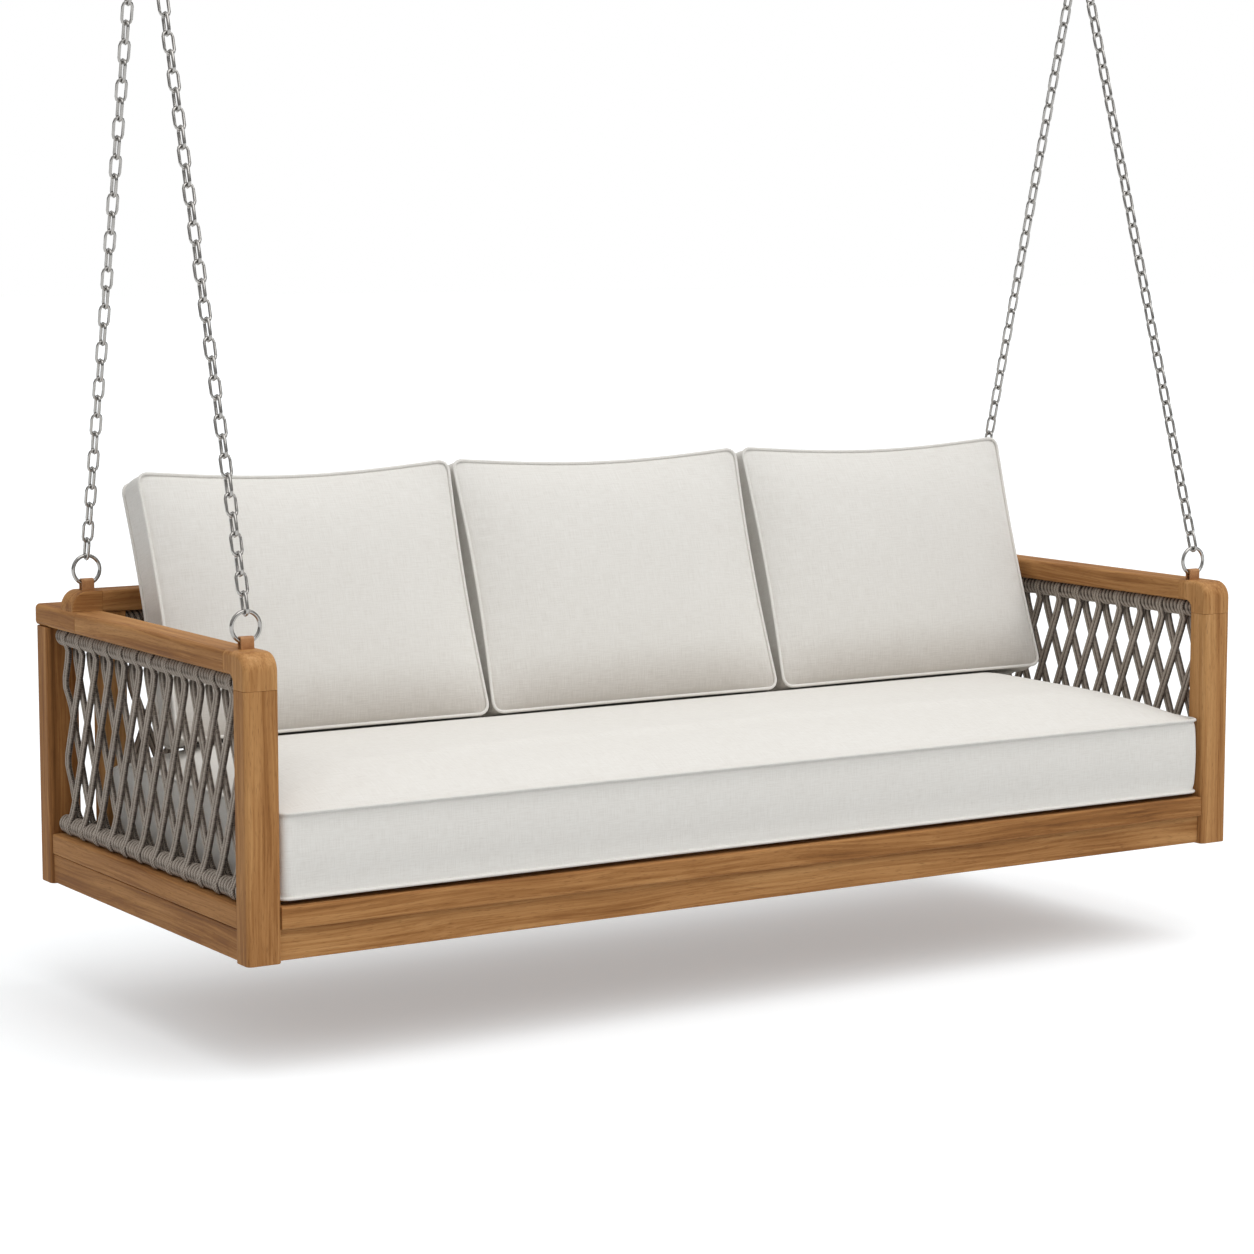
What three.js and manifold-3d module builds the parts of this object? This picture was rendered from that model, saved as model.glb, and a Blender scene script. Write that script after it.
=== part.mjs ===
// A three-seat porch swing: a teak frame with cord-laced arms and back, box
// cushions, and two pairs of chains that meet at a ceiling hanger on each side.
//
// Millimetres, +X along the seat, +Y to the back, +Z up. The origin lies on the
// ceiling plane, midway between the two ceiling plates and above their bolts.
import * as THREE from "three";
import { mergeVertices } from "three/addons/utils/BufferGeometryUtils.js";
import Module from "manifold-3d";

const wasm = await Module();
wasm.setup();

// ---------------------------------------------------------------- driving sizes

const gap = 0.3; // between pieces that touch
const past = 1; // how far a cut runs beyond the face that it opens
const sunk = 1; // how far one part of a joined piece runs into the next

// frame, over the posts
const frameLength = 2000;
const frameDepth = 830;
const postWidth = 59; // along the swing
const frontPostDepth = 45;
const backPostDepth = 49;
const postRadius = 8; // rounded edges of the posts and arms
const boardRadius = 4; // eased edges of the other timber

// arms
const armTop = 485;
const armThickness = 37;
const elbowLegTop = 427; // the joint between a front post and its arm elbow
const elbowDepth = 76; // elbow, front to back
const elbowOuterRadius = 30;
const elbowInnerRadius = 15;
const cornerLead = 17; // back corner block ahead of the back rails

// back
const backInset = 102; // back rails ahead of the posts' back faces
const backRailDepth = 53;
const backTop = 518;
const backRailHeight = 37;
const humpRound = 26; // run of the rounded end of the raised back corner
const humpInset = 4; // ledge outside the rounded end
const humpEase = 2; // eased edges of the raised part
const stileWidth = 45;
const stileDepth = 45;

// seat frame
const railTop = 88;
const railHeight = 36;
const railDepth = 44;
const frontRailInset = 1;
const sideRailInset = 3; // side rail behind the post faces
const apronThickness = 26;
const frontApronInset = 10.5; // apron behind the post faces
const sideApronInset = 2; // apron behind the side rail
const apronBottom = 2;
const apronRadius = 2;
const slatCount = 5;
const slatGap = 22;
const slatThickness = 18;
const bearerWidth = 45;
const bearerHeight = 32;

// cord lacing
const rodDiameter = 14;
const wrapDiameter = 24; // rod with one layer of cord round it
const cordWidth = 13.5;
const cordThickness = 4;
const laceMargin = 10; // from a post to the middle of the nearest turn
const lacePitch = 61; // between neighbouring cord pairs, before it is rounded to fit
const laceLevels = 4; // crossings and half crossings from rod to rod
const rodSocket = 10;

// cushions
const seatCushionSideGap = 3; // to the arms, each side
const seatCushionInset = 3; // behind the posts' front faces, and ahead of the back rails
const seatCushionGusset = 143; // from the slats to the upper seam
const seatCushionCrown = 50;
const backCushionSideGap = 27; // to the arms, each side
const backCushionSpacing = 26; // between neighbours
const backCushionHeight = 468;
const backCushionGusset = 90;
const backCushionFrontCrown = 28;
const backCushionRearCrown = 49;
const backCushionLean = 18.6; // degrees
const backCushionPress = 26; // how far their rear lower seams press into the seat's crown
const backCushionCount = 3;
const seamPull = 0.985; // seams against the full outline of a cushion

// hanging loops and rings
const loopWidth = 22.6;
const loopDepth = 13.5;
const loopThickness = 3;
const loopRise = 20; // above the timber
const loopRoot = 12; // below it
const loopRadius = 4;
const frontLoopInsetX = 35; // its middle from the end of the swing
const frontLoopInsetY = 65; // and from the front
const backLoopInsetX = 42;
const ringRadius = 24; // to the middle of the wire
const ringWire = 6;

// chain
const linkPitch = 31.5; // before it is rounded to a whole chain
const linkWidth = 22;
const linkWire = 5.6;
const linkWeld = 0.4; // neighbouring links of one chain bear on each other

// ceiling hangers
const hangerInset = 38.5; // its middle from the end of the swing
const hangerY = 0; // from the middle of the frame
const hangerBarZ = 1697; // bar that the chains hang from, above the feet of the posts
const hangerBar = 8;
const hangerEyeRadius = 11;
const hangerEyeStretchX = 6;
const hangerEyeStretchZ = 7;
const hangerBarrelRadius = 9;
const hangerBarrelLength = 44;
const hangerWeld = 2; // eye set into the barrel
const linkSpread = 6; // each chain's last link from the middle of the hanger bar
const boltDiameter = 10;
const boltHeadRadius = 9;
const boltHeadHeight = 7;
const plateLength = 120;
const plateWidth = 80;
const plateThickness = 6;
const earThickness = 6;
const earRadius = 20;
const boltDrop = 36; // bolt axis below the plate
const screwHole = 9;
const screwSpacingX = 90;
const screwSpacingY = 50;

// facets of the round forms
const rodSides = 12;
const wrapSides = 8;
const holeSides = 8;
const headSides = 6;
const ringSides = 5;
const ringSteps = 12;
const linkSides = 3;
const linkSteps = 8;
const eyeSides = 6;
const eyeSteps = 8;
const edgeSteps = 1; // of an eased edge
const postEdgeSteps = 2; // of a rounded edge
const roundSteps = 4; // of a rounded corner

// ---------------------------------------------------------------- worked-out places

const endX = frameLength / 2;
const innerX = endX - postWidth; // inner faces of the posts and arms
const frontY = -frameDepth / 2;
const backY = frameDepth / 2;
const frontPostBack = frontY + frontPostDepth;
const backPostFront = backY - backPostDepth;
const armBottom = armTop - armThickness;
const elbowBack = frontY + elbowDepth;
const backRear = backY - backInset;
const backFront = backRear - backRailDepth;
const cornerFront = backFront - cornerLead;
const backMiddle = backFront + backRailDepth / 2;
const backRailBottom = backTop - backRailHeight;
const railBottom = railTop - railHeight;
const apronTop = railBottom - gap;
const laceX = endX - postWidth / 2;
const lowerRodZ = railTop + gap + wrapDiameter / 2;
const upperRodZ = armBottom - gap - wrapDiameter / 2;
const backUpperRodZ = backRailBottom - gap - wrapDiameter / 2;
const stileInner = innerX - stileWidth;
const frontLoopX = endX - frontLoopInsetX;
const frontLoopY = frontY + frontLoopInsetY;
const backLoopX = endX - backLoopInsetX;
const hangerX = endX - hangerInset;

// ---------------------------------------------------------------- materials

const finish = (color, roughness, metalness = 0) =>
  new THREE.MeshStandardMaterial({ color, roughness, metalness });
const teak = finish(0xb98450, 0.55);
const cord = finish(0x9a9187, 0.85);
const linen = finish(0xdedbd5, 0.95);
const leather = finish(0xa8713f, 0.6);
const steel = finish(0xc8c9cb, 0.3, 1);

// ---------------------------------------------------------------- solid helpers

function solidOf(geometry) {
  const bare = geometry.clone();
  bare.deleteAttribute("normal");
  bare.deleteAttribute("uv");
  const merged = mergeVertices(bare, 1e-3);
  return new wasm.Manifold(
    new wasm.Mesh({
      numProp: 3,
      vertProperties: new Float32Array(merged.attributes.position.array),
      triVerts: new Uint32Array(merged.index.array),
    }),
  );
}

function geometryOf(solid) {
  const mesh = solid.getMesh();
  const stride = mesh.numProp;
  const positions = new Float32Array(mesh.numVert * 3);
  for (let i = 0; i < mesh.numVert; i++)
    positions.set(mesh.vertProperties.subarray(i * stride, i * stride + 3), i * 3);
  const geometry = new THREE.BufferGeometry();
  geometry.setAttribute("position", new THREE.BufferAttribute(positions, 3));
  geometry.setIndex(new THREE.BufferAttribute(new Uint32Array(mesh.triVerts), 1));
  geometry.computeVertexNormals();
  return geometry;
}

const joined = (...geometries) =>
  geometryOf(geometries.map(solidOf).reduce((all, one) => all.add(one)));

const cut = (geometry, ...tools) =>
  geometryOf(tools.map(solidOf).reduce((all, one) => all.subtract(one), solidOf(geometry)));

const middleOf = ([low, high]) => (low + high) / 2;
const sizeOf = ([low, high]) => high - low;

const box = (...ranges) =>
  new THREE.BoxGeometry(...ranges.map(sizeOf)).translate(...ranges.map(middleOf));

// For a piece that runs along an axis: the axes that its profile's x, its profile's y
// and its length take.
const runs = { x: "yzx", y: "zxy", z: "xyz" };
const inRunOrder = (axis, values) => [...runs[axis]].map((letter) => values["xyz".indexOf(letter)]);
const units = [
  new THREE.Vector3(1, 0, 0),
  new THREE.Vector3(0, 1, 0),
  new THREE.Vector3(0, 0, 1),
];
const turnTo = (axis) => new THREE.Matrix4().makeBasis(...inRunOrder(axis, units));

function roundedRectangle(width, height, radius) {
  const x = width / 2 - radius;
  const y = height / 2 - radius;
  const quarter = Math.PI / 2;
  const shape = new THREE.Shape();
  shape.absarc(x, y, radius, 0, quarter);
  shape.absarc(-x, y, radius, quarter, 2 * quarter);
  shape.absarc(-x, -y, radius, 2 * quarter, 3 * quarter);
  shape.absarc(x, -y, radius, 3 * quarter, 4 * quarter);
  return shape;
}

// A board that fills a box, with its four long edges rounded.
function board(axis, ranges, radius = boardRadius) {
  const [width, height, length] = inRunOrder(axis, ranges).map(sizeOf);
  const geometry = new THREE.ExtrudeGeometry(roundedRectangle(width, height, radius), {
    depth: length,
    bevelEnabled: false,
    curveSegments: radius === postRadius ? postEdgeSteps : edgeSteps,
  });
  geometry.translate(0, 0, -length / 2);
  return geometry.applyMatrix4(turnTo(axis)).translate(...ranges.map(middleOf));
}

// A round bar along an axis, from one value to another, through a point.
function bar(axis, [from, to], point, radius, sides = rodSides) {
  const geometry = new THREE.CylinderGeometry(radius, radius, to - from, sides);
  geometry.rotateX(Math.PI / 2); // its length along Z
  geometry.rotateZ(Math.PI / sides); // a flat, not an edge, across the profile's x
  geometry.translate(0, 0, (from + to) / 2);
  return geometry.applyMatrix4(turnTo(axis)).translate(...point);
}

// A profile drawn in the plane across X, carried along X.
function extrudedAlongX(shape, [from, to], bevel = 0) {
  const geometry = new THREE.ExtrudeGeometry(shape, {
    depth: to - from - 2 * bevel,
    curveSegments: roundSteps,
    bevelEnabled: bevel > 0,
    bevelSize: bevel,
    bevelOffset: -bevel,
    bevelThickness: bevel,
    bevelSegments: postEdgeSteps,
  });
  geometry.translate(0, 0, from + bevel);
  return geometry.applyMatrix4(turnTo("x"));
}

const swing = new THREE.Group();
const seat = new THREE.Group(); // its zero height is the foot of the posts
swing.add(seat);

function piece(name, geometry, material, group = seat) {
  const mesh = new THREE.Mesh(geometry, material);
  mesh.name = name;
  group.add(mesh);
  return mesh;
}

// The two ends of the swing, seen from the front.
const ends = [
  ["left", -1],
  ["right", 1],
];

// A range in X at one end, from two distances outwards from the middle.
const outward = (side, near, far) => (side < 0 ? [-far, -near] : [near, far]);

// ---------------------------------------------------------------- posts and arms

// The two slots in the timber that hold a hanging loop's feet.
const loopSlots = (x, y, top) =>
  [-1, 1].map((leg) =>
    box(
      [x - loopWidth / 2 - gap, x + loopWidth / 2 + gap],
      [
        y + (leg * (loopDepth - loopThickness)) / 2 - loopThickness / 2 - gap,
        y + (leg * (loopDepth - loopThickness)) / 2 + loopThickness / 2 + gap,
      ],
      [top - loopRoot - gap, top + past],
    ),
  );

const rodHole = (axis, range, point) => bar(axis, range, point, rodDiameter / 2 + gap);

function elbow(side) {
  const spare = 3 * postRadius; // past the two joint faces, cut square afterwards
  const shape = new THREE.Shape();
  shape.moveTo(frontY, elbowLegTop - spare);
  shape.lineTo(frontPostBack, elbowLegTop - spare);
  shape.lineTo(frontPostBack, armBottom - elbowInnerRadius);
  shape.absarc(
    frontPostBack + elbowInnerRadius,
    armBottom - elbowInnerRadius,
    elbowInnerRadius,
    Math.PI,
    Math.PI / 2,
    true,
  );
  shape.lineTo(elbowBack + spare, armBottom);
  shape.lineTo(elbowBack + spare, armTop);
  shape.lineTo(frontY + elbowOuterRadius, armTop);
  shape.absarc(
    frontY + elbowOuterRadius,
    armTop - elbowOuterRadius,
    elbowOuterRadius,
    Math.PI / 2,
    Math.PI,
  );
  const width = outward(side, innerX, endX);
  const [x0, x1] = width;
  const all = [x0 - past, x1 + past];
  return cut(
    extrudedAlongX(shape, width, postRadius),
    box(
      all,
      [frontY - past, frontPostBack + past],
      [elbowLegTop - 2 * spare, elbowLegTop + gap],
    ),
    box(
      all,
      [elbowBack - gap, elbowBack + 2 * spare],
      [armBottom - past, armTop + past],
    ),
    rodHole(
      "y",
      [frontPostBack - rodSocket, frontPostBack + elbowInnerRadius],
      [side * laceX, 0, upperRodZ],
    ),
    ...loopSlots(side * frontLoopX, frontLoopY, armTop),
  );
}

// The back corner: a block that carries on the arm, with a raised part across it that
// carries on the back top rail and ends in a quarter round.
function backCorner(side) {
  const foot = endX - humpInset; // where the quarter round meets the ledge
  const humpFoot = armTop - postRadius - humpEase;
  const hump = new THREE.Shape(); // seen from the front, for the right end
  hump.moveTo(innerX - humpRound, humpFoot);
  hump.lineTo(foot, humpFoot);
  hump.lineTo(foot, armTop);
  hump.absellipse(foot - humpRound, armTop, humpRound, backTop - armTop, 0, Math.PI / 2);
  hump.lineTo(innerX - humpRound, backTop);
  const raised = new THREE.ExtrudeGeometry(hump, {
    depth: backRailDepth - 2 * humpEase,
    curveSegments: roundSteps,
    bevelSize: humpEase,
    bevelOffset: -humpEase,
    bevelThickness: humpEase,
    bevelSegments: 1,
  });
  raised.translate(0, 0, -backRailDepth / 2 + humpEase);
  raised.rotateX(Math.PI / 2);
  raised.rotateZ(side < 0 ? Math.PI : 0);
  raised.translate(0, backMiddle, 0);
  const width = outward(side, innerX, endX);
  return cut(
    joined(board("y", [width, [cornerFront, backY], [armBottom, armTop]], postRadius), raised),
    box(outward(side, innerX - 2 * humpRound, innerX), [0, backY], [armBottom, backTop + past]),
    ...loopSlots(side * backLoopX, backMiddle, backTop),
  );
}

for (const [name, side] of ends) {
  const width = outward(side, innerX, endX);
  const upperRod = [side * laceX, 0, upperRodZ];
  const lowerRod = [side * laceX, 0, lowerRodZ];
  const intoFront = [frontPostBack - rodSocket, frontPostBack + past];
  const intoBack = [backPostFront - past, backPostFront + rodSocket];
  piece(
    `${name}_front_post`,
    cut(
      board("z", [width, [frontY, frontPostBack], [0, elbowLegTop]], postRadius),
      rodHole("y", intoFront, lowerRod),
    ),
    teak,
  );
  piece(
    `${name}_back_post`,
    cut(
      board("z", [width, [backPostFront, backY], [0, armBottom - gap]], postRadius),
      rodHole("y", intoBack, upperRod),
      rodHole("y", intoBack, lowerRod),
    ),
    teak,
  );
  piece(`${name}_arm_elbow`, elbow(side), teak);
  piece(
    `${name}_arm_rail`,
    board("y", [width, [elbowBack, cornerFront - gap], [armBottom, armTop]], postRadius),
    teak,
  );
  piece(`${name}_back_corner`, backCorner(side), teak);
}

// ---------------------------------------------------------------- seat frame

const sideRailOuter = endX - sideRailInset;
const sideRailInner = innerX + sideRailInset;
const sideApronOuter = sideRailOuter - sideApronInset;
const betweenPosts = [-innerX + gap, innerX - gap];
const betweenSideRails = [-sideRailInner + gap, sideRailInner - gap];
const sideRun = [frontPostBack + gap, backPostFront - gap];
const railHeights = [railBottom, railTop];
const apronHeights = [apronBottom, apronTop];
const frontRailDepths = [frontY + frontRailInset, frontY + frontRailInset + railDepth];
const frontApronDepths = [frontY + frontApronInset, frontY + frontApronInset + apronThickness];
const backRailDepths = [backFront, backRear];
const backApronDepths = [backMiddle - apronThickness / 2, backMiddle + apronThickness / 2];

const plank = (name, axis, ranges, radius) => piece(name, board(axis, ranges, radius), teak);

plank("front_rail", "x", [betweenPosts, frontRailDepths, railHeights]);
plank("front_apron", "x", [betweenPosts, frontApronDepths, apronHeights], apronRadius);
plank("back_seat_rail", "x", [betweenSideRails, backRailDepths, railHeights]);
plank("back_apron", "x", [betweenSideRails, backApronDepths, apronHeights], apronRadius);
plank("back_top_rail", "x", [betweenPosts, backRailDepths, [backRailBottom, backTop]]);
for (const [name, side] of ends) {
  const apronWidth = outward(side, sideApronOuter - apronThickness, sideApronOuter);
  const railWidth = outward(side, sideRailInner, sideRailOuter);
  plank(`${name}_side_rail`, "y", [railWidth, sideRun, railHeights]);
  plank(`${name}_side_apron`, "y", [apronWidth, sideRun, apronHeights], apronRadius);
  const intoStile = outward(side, stileInner - past, stileInner + rodSocket);
  piece(
    `${name}_back_stile`,
    cut(
      board("z", [
        outward(side, stileInner, innerX - gap),
        [backMiddle - stileDepth / 2, backMiddle + stileDepth / 2],
        [railTop + gap, backRailBottom - gap],
      ]),
      rodHole("x", intoStile, [0, backMiddle, backUpperRodZ]),
      rodHole("x", intoStile, [0, backMiddle, lowerRodZ]),
    ),
    teak,
  );
}

// The seat deck: slats from end to end, on bearers that cross from rail to rail.
const deckFront = frontRailDepths[1] + gap;
const deckBack = backFront - gap;
const bearerTop = railTop - slatThickness - gap;
const bearers = ["left", "middle", "right"];
bearers.forEach((name, i) => {
  const x = betweenSideRails[0] + ((i + 0.5) / bearers.length) * sizeOf(betweenSideRails);
  plank(
    `${name}_seat_bearer`,
    "y",
    [
      [x - bearerWidth / 2, x + bearerWidth / 2],
      [deckFront, deckBack],
      [bearerTop - bearerHeight, bearerTop],
    ],
    apronRadius,
  );
});
const slatWidth = (deckBack - deckFront - slatGap) / slatCount - slatGap;
for (let i = 0; i < slatCount; i++) {
  const y = deckFront + slatGap + i * (slatWidth + slatGap);
  plank(
    `seat_slat_${i + 1}`,
    "x",
    [betweenSideRails, [y, y + slatWidth], [railTop - slatThickness, railTop]],
    apronRadius,
  );
}

// ---------------------------------------------------------------- rods and lacing

// A flat cord between two points of the lacing's plane, in the front or the back layer.
function flatCord([x0, z0], [x1, z1], layer) {
  const length = Math.hypot(x1 - x0, z1 - z0);
  const geometry = new THREE.BoxGeometry(cordWidth, cordThickness, length);
  geometry.rotateY(Math.atan2(x1 - x0, z1 - z0));
  const fromPlane = (layer * (cordThickness + gap)) / 2;
  return geometry.translate((x0 + x1) / 2, fromPlane, (z0 + z1) / 2);
}

// One lacing: a wrapping of cord on each of two rods, and cords that cross between them
// in two layers. A cord that meets a post turns back there into the other layer. It is
// drawn along +X with its height along Z and the rods' middles at y = 0.
function lacing(length, lowZ, highZ, upperStart = 0) {
  const halfFlat = wrapDiameter / 2; // the wrapping's flats face the cords
  const wrapping = (z, from) =>
    cut(
      bar("x", [from, length], [0, 0, z], halfFlat / Math.cos(Math.PI / wrapSides), wrapSides),
      bar("x", [from - past, length + past], [0, 0, z], rodDiameter / 2 + gap),
    );
  const rooted = (wrapDiameter + rodDiameter) / 4; // the cords start in the wrapping's wall
  const bottom = lowZ + rooted;
  const top = highZ - rooted;
  const laced = length - 2 * laceMargin;
  const pitches = Math.round(laced / lacePitch);
  const halfPitch = laced / (2 * pitches);
  const levelStep = (top - bottom) / laceLevels;
  const lastStep = 2 * pitches;
  const parts = [wrapping(lowZ, 0), wrapping(highZ, upperStart)];
  for (let start = 1 - laceLevels; start < lastStep; start += 2) {
    const from = Math.max(0, -start);
    const to = Math.min(laceLevels, lastStep - start);
    for (const layer of [1, -1]) {
      const pointAt = (level) => {
        const run = laceMargin + (start + level) * halfPitch;
        return [layer > 0 ? run : length - run, top - level * levelStep];
      };
      parts.push(flatCord(pointAt(from), pointAt(to), layer));
      const turns = [from > 0 ? from : null, to < laceLevels ? to : null];
      if (layer > 0)
        for (const level of turns.filter((turn) => turn !== null)) {
          const [x, z] = pointAt(level);
          const half = cordWidth / 2;
          const thick = cordThickness + gap / 2;
          parts.push(box([x - half, x + half], [-thick, thick], [z - half, z + half]));
        }
    }
  }
  return joined(...parts);
}

for (const [name, side] of ends) {
  const rodRun = [frontPostBack - rodSocket + gap, backPostFront + rodSocket - gap];
  for (const [level, z] of [
    ["upper", upperRodZ],
    ["lower", lowerRodZ],
  ])
    piece(`${name}_${level}_rod`, bar("y", rodRun, [side * laceX, 0, z], rodDiameter / 2), steel);
  const laced = lacing(
    backPostFront - frontPostBack - 2 * gap,
    lowerRodZ,
    upperRodZ,
    elbowInnerRadius,
  );
  laced.rotateZ(Math.PI / 2);
  laced.translate(side * laceX, frontPostBack + gap, 0);
  piece(`${name}_arm_lacing`, laced, cord);
}
const backRodEnd = stileInner + rodSocket - gap;
for (const [level, z] of [
  ["upper", backUpperRodZ],
  ["lower", lowerRodZ],
])
  piece(
    `back_${level}_rod`,
    bar("x", [-backRodEnd, backRodEnd], [0, backMiddle, z], rodDiameter / 2),
    steel,
  );
const backLacing = lacing(2 * (stileInner - gap), lowerRodZ, backUpperRodZ);
backLacing.translate(-(stileInner - gap), backMiddle, 0);
piece("back_lacing", backLacing, cord);

// ---------------------------------------------------------------- cushions

// How far a crowned face stands up, at a place given as shares of its half sizes.
const crownShare = (u, v) => (1 - u ** 4) * (1 - v ** 4);

const cushionSteps = 6; // facets across a crowned face, each way
const firstStep = 1 - 2 / cushionSteps; // the share where the facet next to a seam ends

// A box cushion lying flat: a gusset between two seams, and a crown above and below.
function cushion(width, depth, gusset, upperCrown, lowerCrown) {
  const geometry = new THREE.BoxGeometry(width, depth, gusset, cushionSteps, cushionSteps, 2);
  const place = geometry.attributes.position;
  for (let i = 0; i < place.count; i++) {
    const level = Math.sign(Math.round(place.getZ(i))); // 1 above, -1 below, 0 between
    if (level === 0) continue;
    const u = place.getX(i) / (width / 2);
    const v = place.getY(i) / (depth / 2);
    const crown = level > 0 ? upperCrown : lowerCrown;
    place.setXYZ(
      i,
      place.getX(i) * seamPull,
      place.getY(i) * seamPull,
      place.getZ(i) + level * crown * crownShare(u, v),
    );
  }
  return geometryOf(solidOf(geometry));
}

const seatSpan = [frontY + seatCushionInset, backFront - seatCushionInset];
const seatWidth = 2 * (innerX - seatCushionSideGap);
const seatTop = railTop + gap + seatCushionGusset + seatCushionCrown;

// A back cushion stands in the seat's crown with its rear lower seam and leans on the
// top rail.
const lean = THREE.MathUtils.degToRad(backCushionLean);
const bulgeAcross = (backCushionGusset / 2 + backCushionRearCrown) / Math.cos(lean);
const cushionHalf = (backCushionHeight * seamPull) / 2;
const footBelow = cushionHalf * Math.cos(lean) + (backCushionGusset / 2) * Math.sin(lean);
const cushionMiddleZ = seatTop - backCushionPress + footBelow;
const railCornerZ = backTop - boardRadius;
const cushionMiddleY =
  backFront - gap - bulgeAcross - (railCornerZ - cushionMiddleZ) * Math.tan(lean);

// The back cushions' side view, carried from arm to arm: what they press out of the seat.
const faceReach = (crown) => backCushionGusset / 2 + crown;
const lowerReach = (crown) => backCushionGusset / 2 + crown * crownShare(0, firstStep);
const sideView = [
  [0, faceReach(backCushionFrontCrown)],
  [-firstStep * cushionHalf, lowerReach(backCushionFrontCrown)],
  [-cushionHalf, backCushionGusset / 2],
  [-backCushionHeight / 2, 0],
  [-cushionHalf, -backCushionGusset / 2],
  [-firstStep * cushionHalf, -lowerReach(backCushionRearCrown)],
  [0, -faceReach(backCushionRearCrown)],
].map(
  ([up, forward]) =>
    new THREE.Vector2(
      cushionMiddleY + up * Math.sin(lean) - forward * Math.cos(lean),
      cushionMiddleZ - gap + up * Math.cos(lean) + forward * Math.sin(lean),
    ),
);
const seatBody = cushion(seatWidth, sizeOf(seatSpan), seatCushionGusset, seatCushionCrown, 0);
seatBody.translate(0, middleOf(seatSpan), railTop + gap + seatCushionGusset / 2);
const pressedOut = extrudedAlongX(new THREE.Shape(sideView), [-seatWidth, seatWidth]);
piece("seat_cushion", cut(seatBody, pressedOut), linen);

const spacings = (backCushionCount - 1) * backCushionSpacing;
const backCushionWidth = (2 * (innerX - backCushionSideGap) - spacings) / backCushionCount;
const backCushionPitch = backCushionWidth + backCushionSpacing;
for (let i = 0; i < backCushionCount; i++) {
  const made = piece(
    `back_cushion_${i + 1}`,
    cushion(
      backCushionWidth,
      backCushionHeight,
      backCushionGusset,
      backCushionFrontCrown,
      backCushionRearCrown,
    ),
    linen,
  );
  made.rotation.x = Math.PI / 2 - lean;
  made.position.set(
    (i - (backCushionCount - 1) / 2) * backCushionPitch,
    cushionMiddleY,
    cushionMiddleZ,
  );
}

// ---------------------------------------------------------------- loops and rings

function hangingLoop() {
  const out = loopDepth / 2;
  const inside = out - loopThickness;
  const round = loopRise - loopRadius;
  const shape = new THREE.Shape();
  shape.moveTo(out, -loopRoot);
  shape.absarc(out - loopRadius, round, loopRadius, 0, Math.PI / 2);
  shape.absarc(-out + loopRadius, round, loopRadius, Math.PI / 2, Math.PI);
  shape.lineTo(-out, -loopRoot);
  shape.lineTo(-inside, -loopRoot);
  shape.lineTo(-inside, loopRise - loopThickness);
  shape.lineTo(inside, loopRise - loopThickness);
  shape.lineTo(inside, -loopRoot);
  return extrudedAlongX(shape, [-loopWidth / 2, loopWidth / 2]);
}

// A ring is pulled up into its loop until its wire bears on the loop's two edges.
const ringSag = Math.sqrt(ringRadius ** 2 - (loopWidth / 2) ** 2);
const wireAtEdge = ((ringWire / 2) * ringRadius) / ringSag;
const ringAbove = loopRise - loopThickness - gap - wireAtEdge + ringSag;

// ---------------------------------------------------------------- chains

// A closed loop of wire in the XY plane: a round one, drawn out along both axes.
function wireLoop(radius, tube, sides, steps, stretchX, stretchY) {
  const geometry = new THREE.TorusGeometry(radius, tube, sides, steps);
  geometry.rotateZ(Math.PI / steps);
  const place = geometry.attributes.position;
  for (let i = 0; i < place.count; i++) {
    const signX = Math.sign(Math.round(place.getX(i)));
    const signY = Math.sign(Math.round(place.getY(i)));
    place.setXY(i, place.getX(i) + signX * stretchX, place.getY(i) + signY * stretchY);
  }
  return geometry;
}

// One link in XY with its length along Y. Its wire is three-sided, an edge facing in:
// the negative tube radius turns the section half a turn.
function link(innerLength) {
  const tube = linkWire / (2 * Math.sin(Math.PI / linkSides));
  const flat = Math.cos(Math.PI / linkSteps); // a flat's distance against a corner's
  const radius = linkWidth / (2 * flat) - tube * Math.cos(Math.PI / linkSides);
  const stretch = innerLength / 2 - (radius - tube) * flat;
  return wireLoop(radius, -tube, linkSides, linkSteps, 0, stretch);
}

// A taut chain between two bars that run along X, each given by its middle and its
// thickness. Both end links stand across their bars, so the links are odd in number.
function chain(low, lowBar, high, highBar) {
  const along = high.clone().sub(low);
  const reach = along.length() + (lowBar + highBar) / 2 + 2 * gap;
  along.normalize();
  const start = low.clone().addScaledVector(along, -lowBar / 2 - gap);
  const count = 2 * Math.round((reach / linkPitch - 1) / 2) + 1;
  const pitch = reach / count;
  const sideways = new THREE.Vector3(1, 0, 0).addScaledVector(along, -along.x).normalize();
  const forward = new THREE.Vector3().crossVectors(sideways, along);
  const links = [];
  for (let i = 0; i < count; i++) {
    const [wide, normal] = i % 2 ? [sideways, forward] : [forward, sideways.clone().negate()];
    const welds = i === 0 || i === count - 1 ? 1 : 2;
    const middle = start.clone().addScaledVector(along, (i + 0.5) * pitch);
    const place = new THREE.Matrix4().makeBasis(wide, along, normal).setPosition(middle);
    links.push(link(pitch - (welds * linkWeld) / 2).applyMatrix4(place));
  }
  return joined(...links);
}

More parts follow.
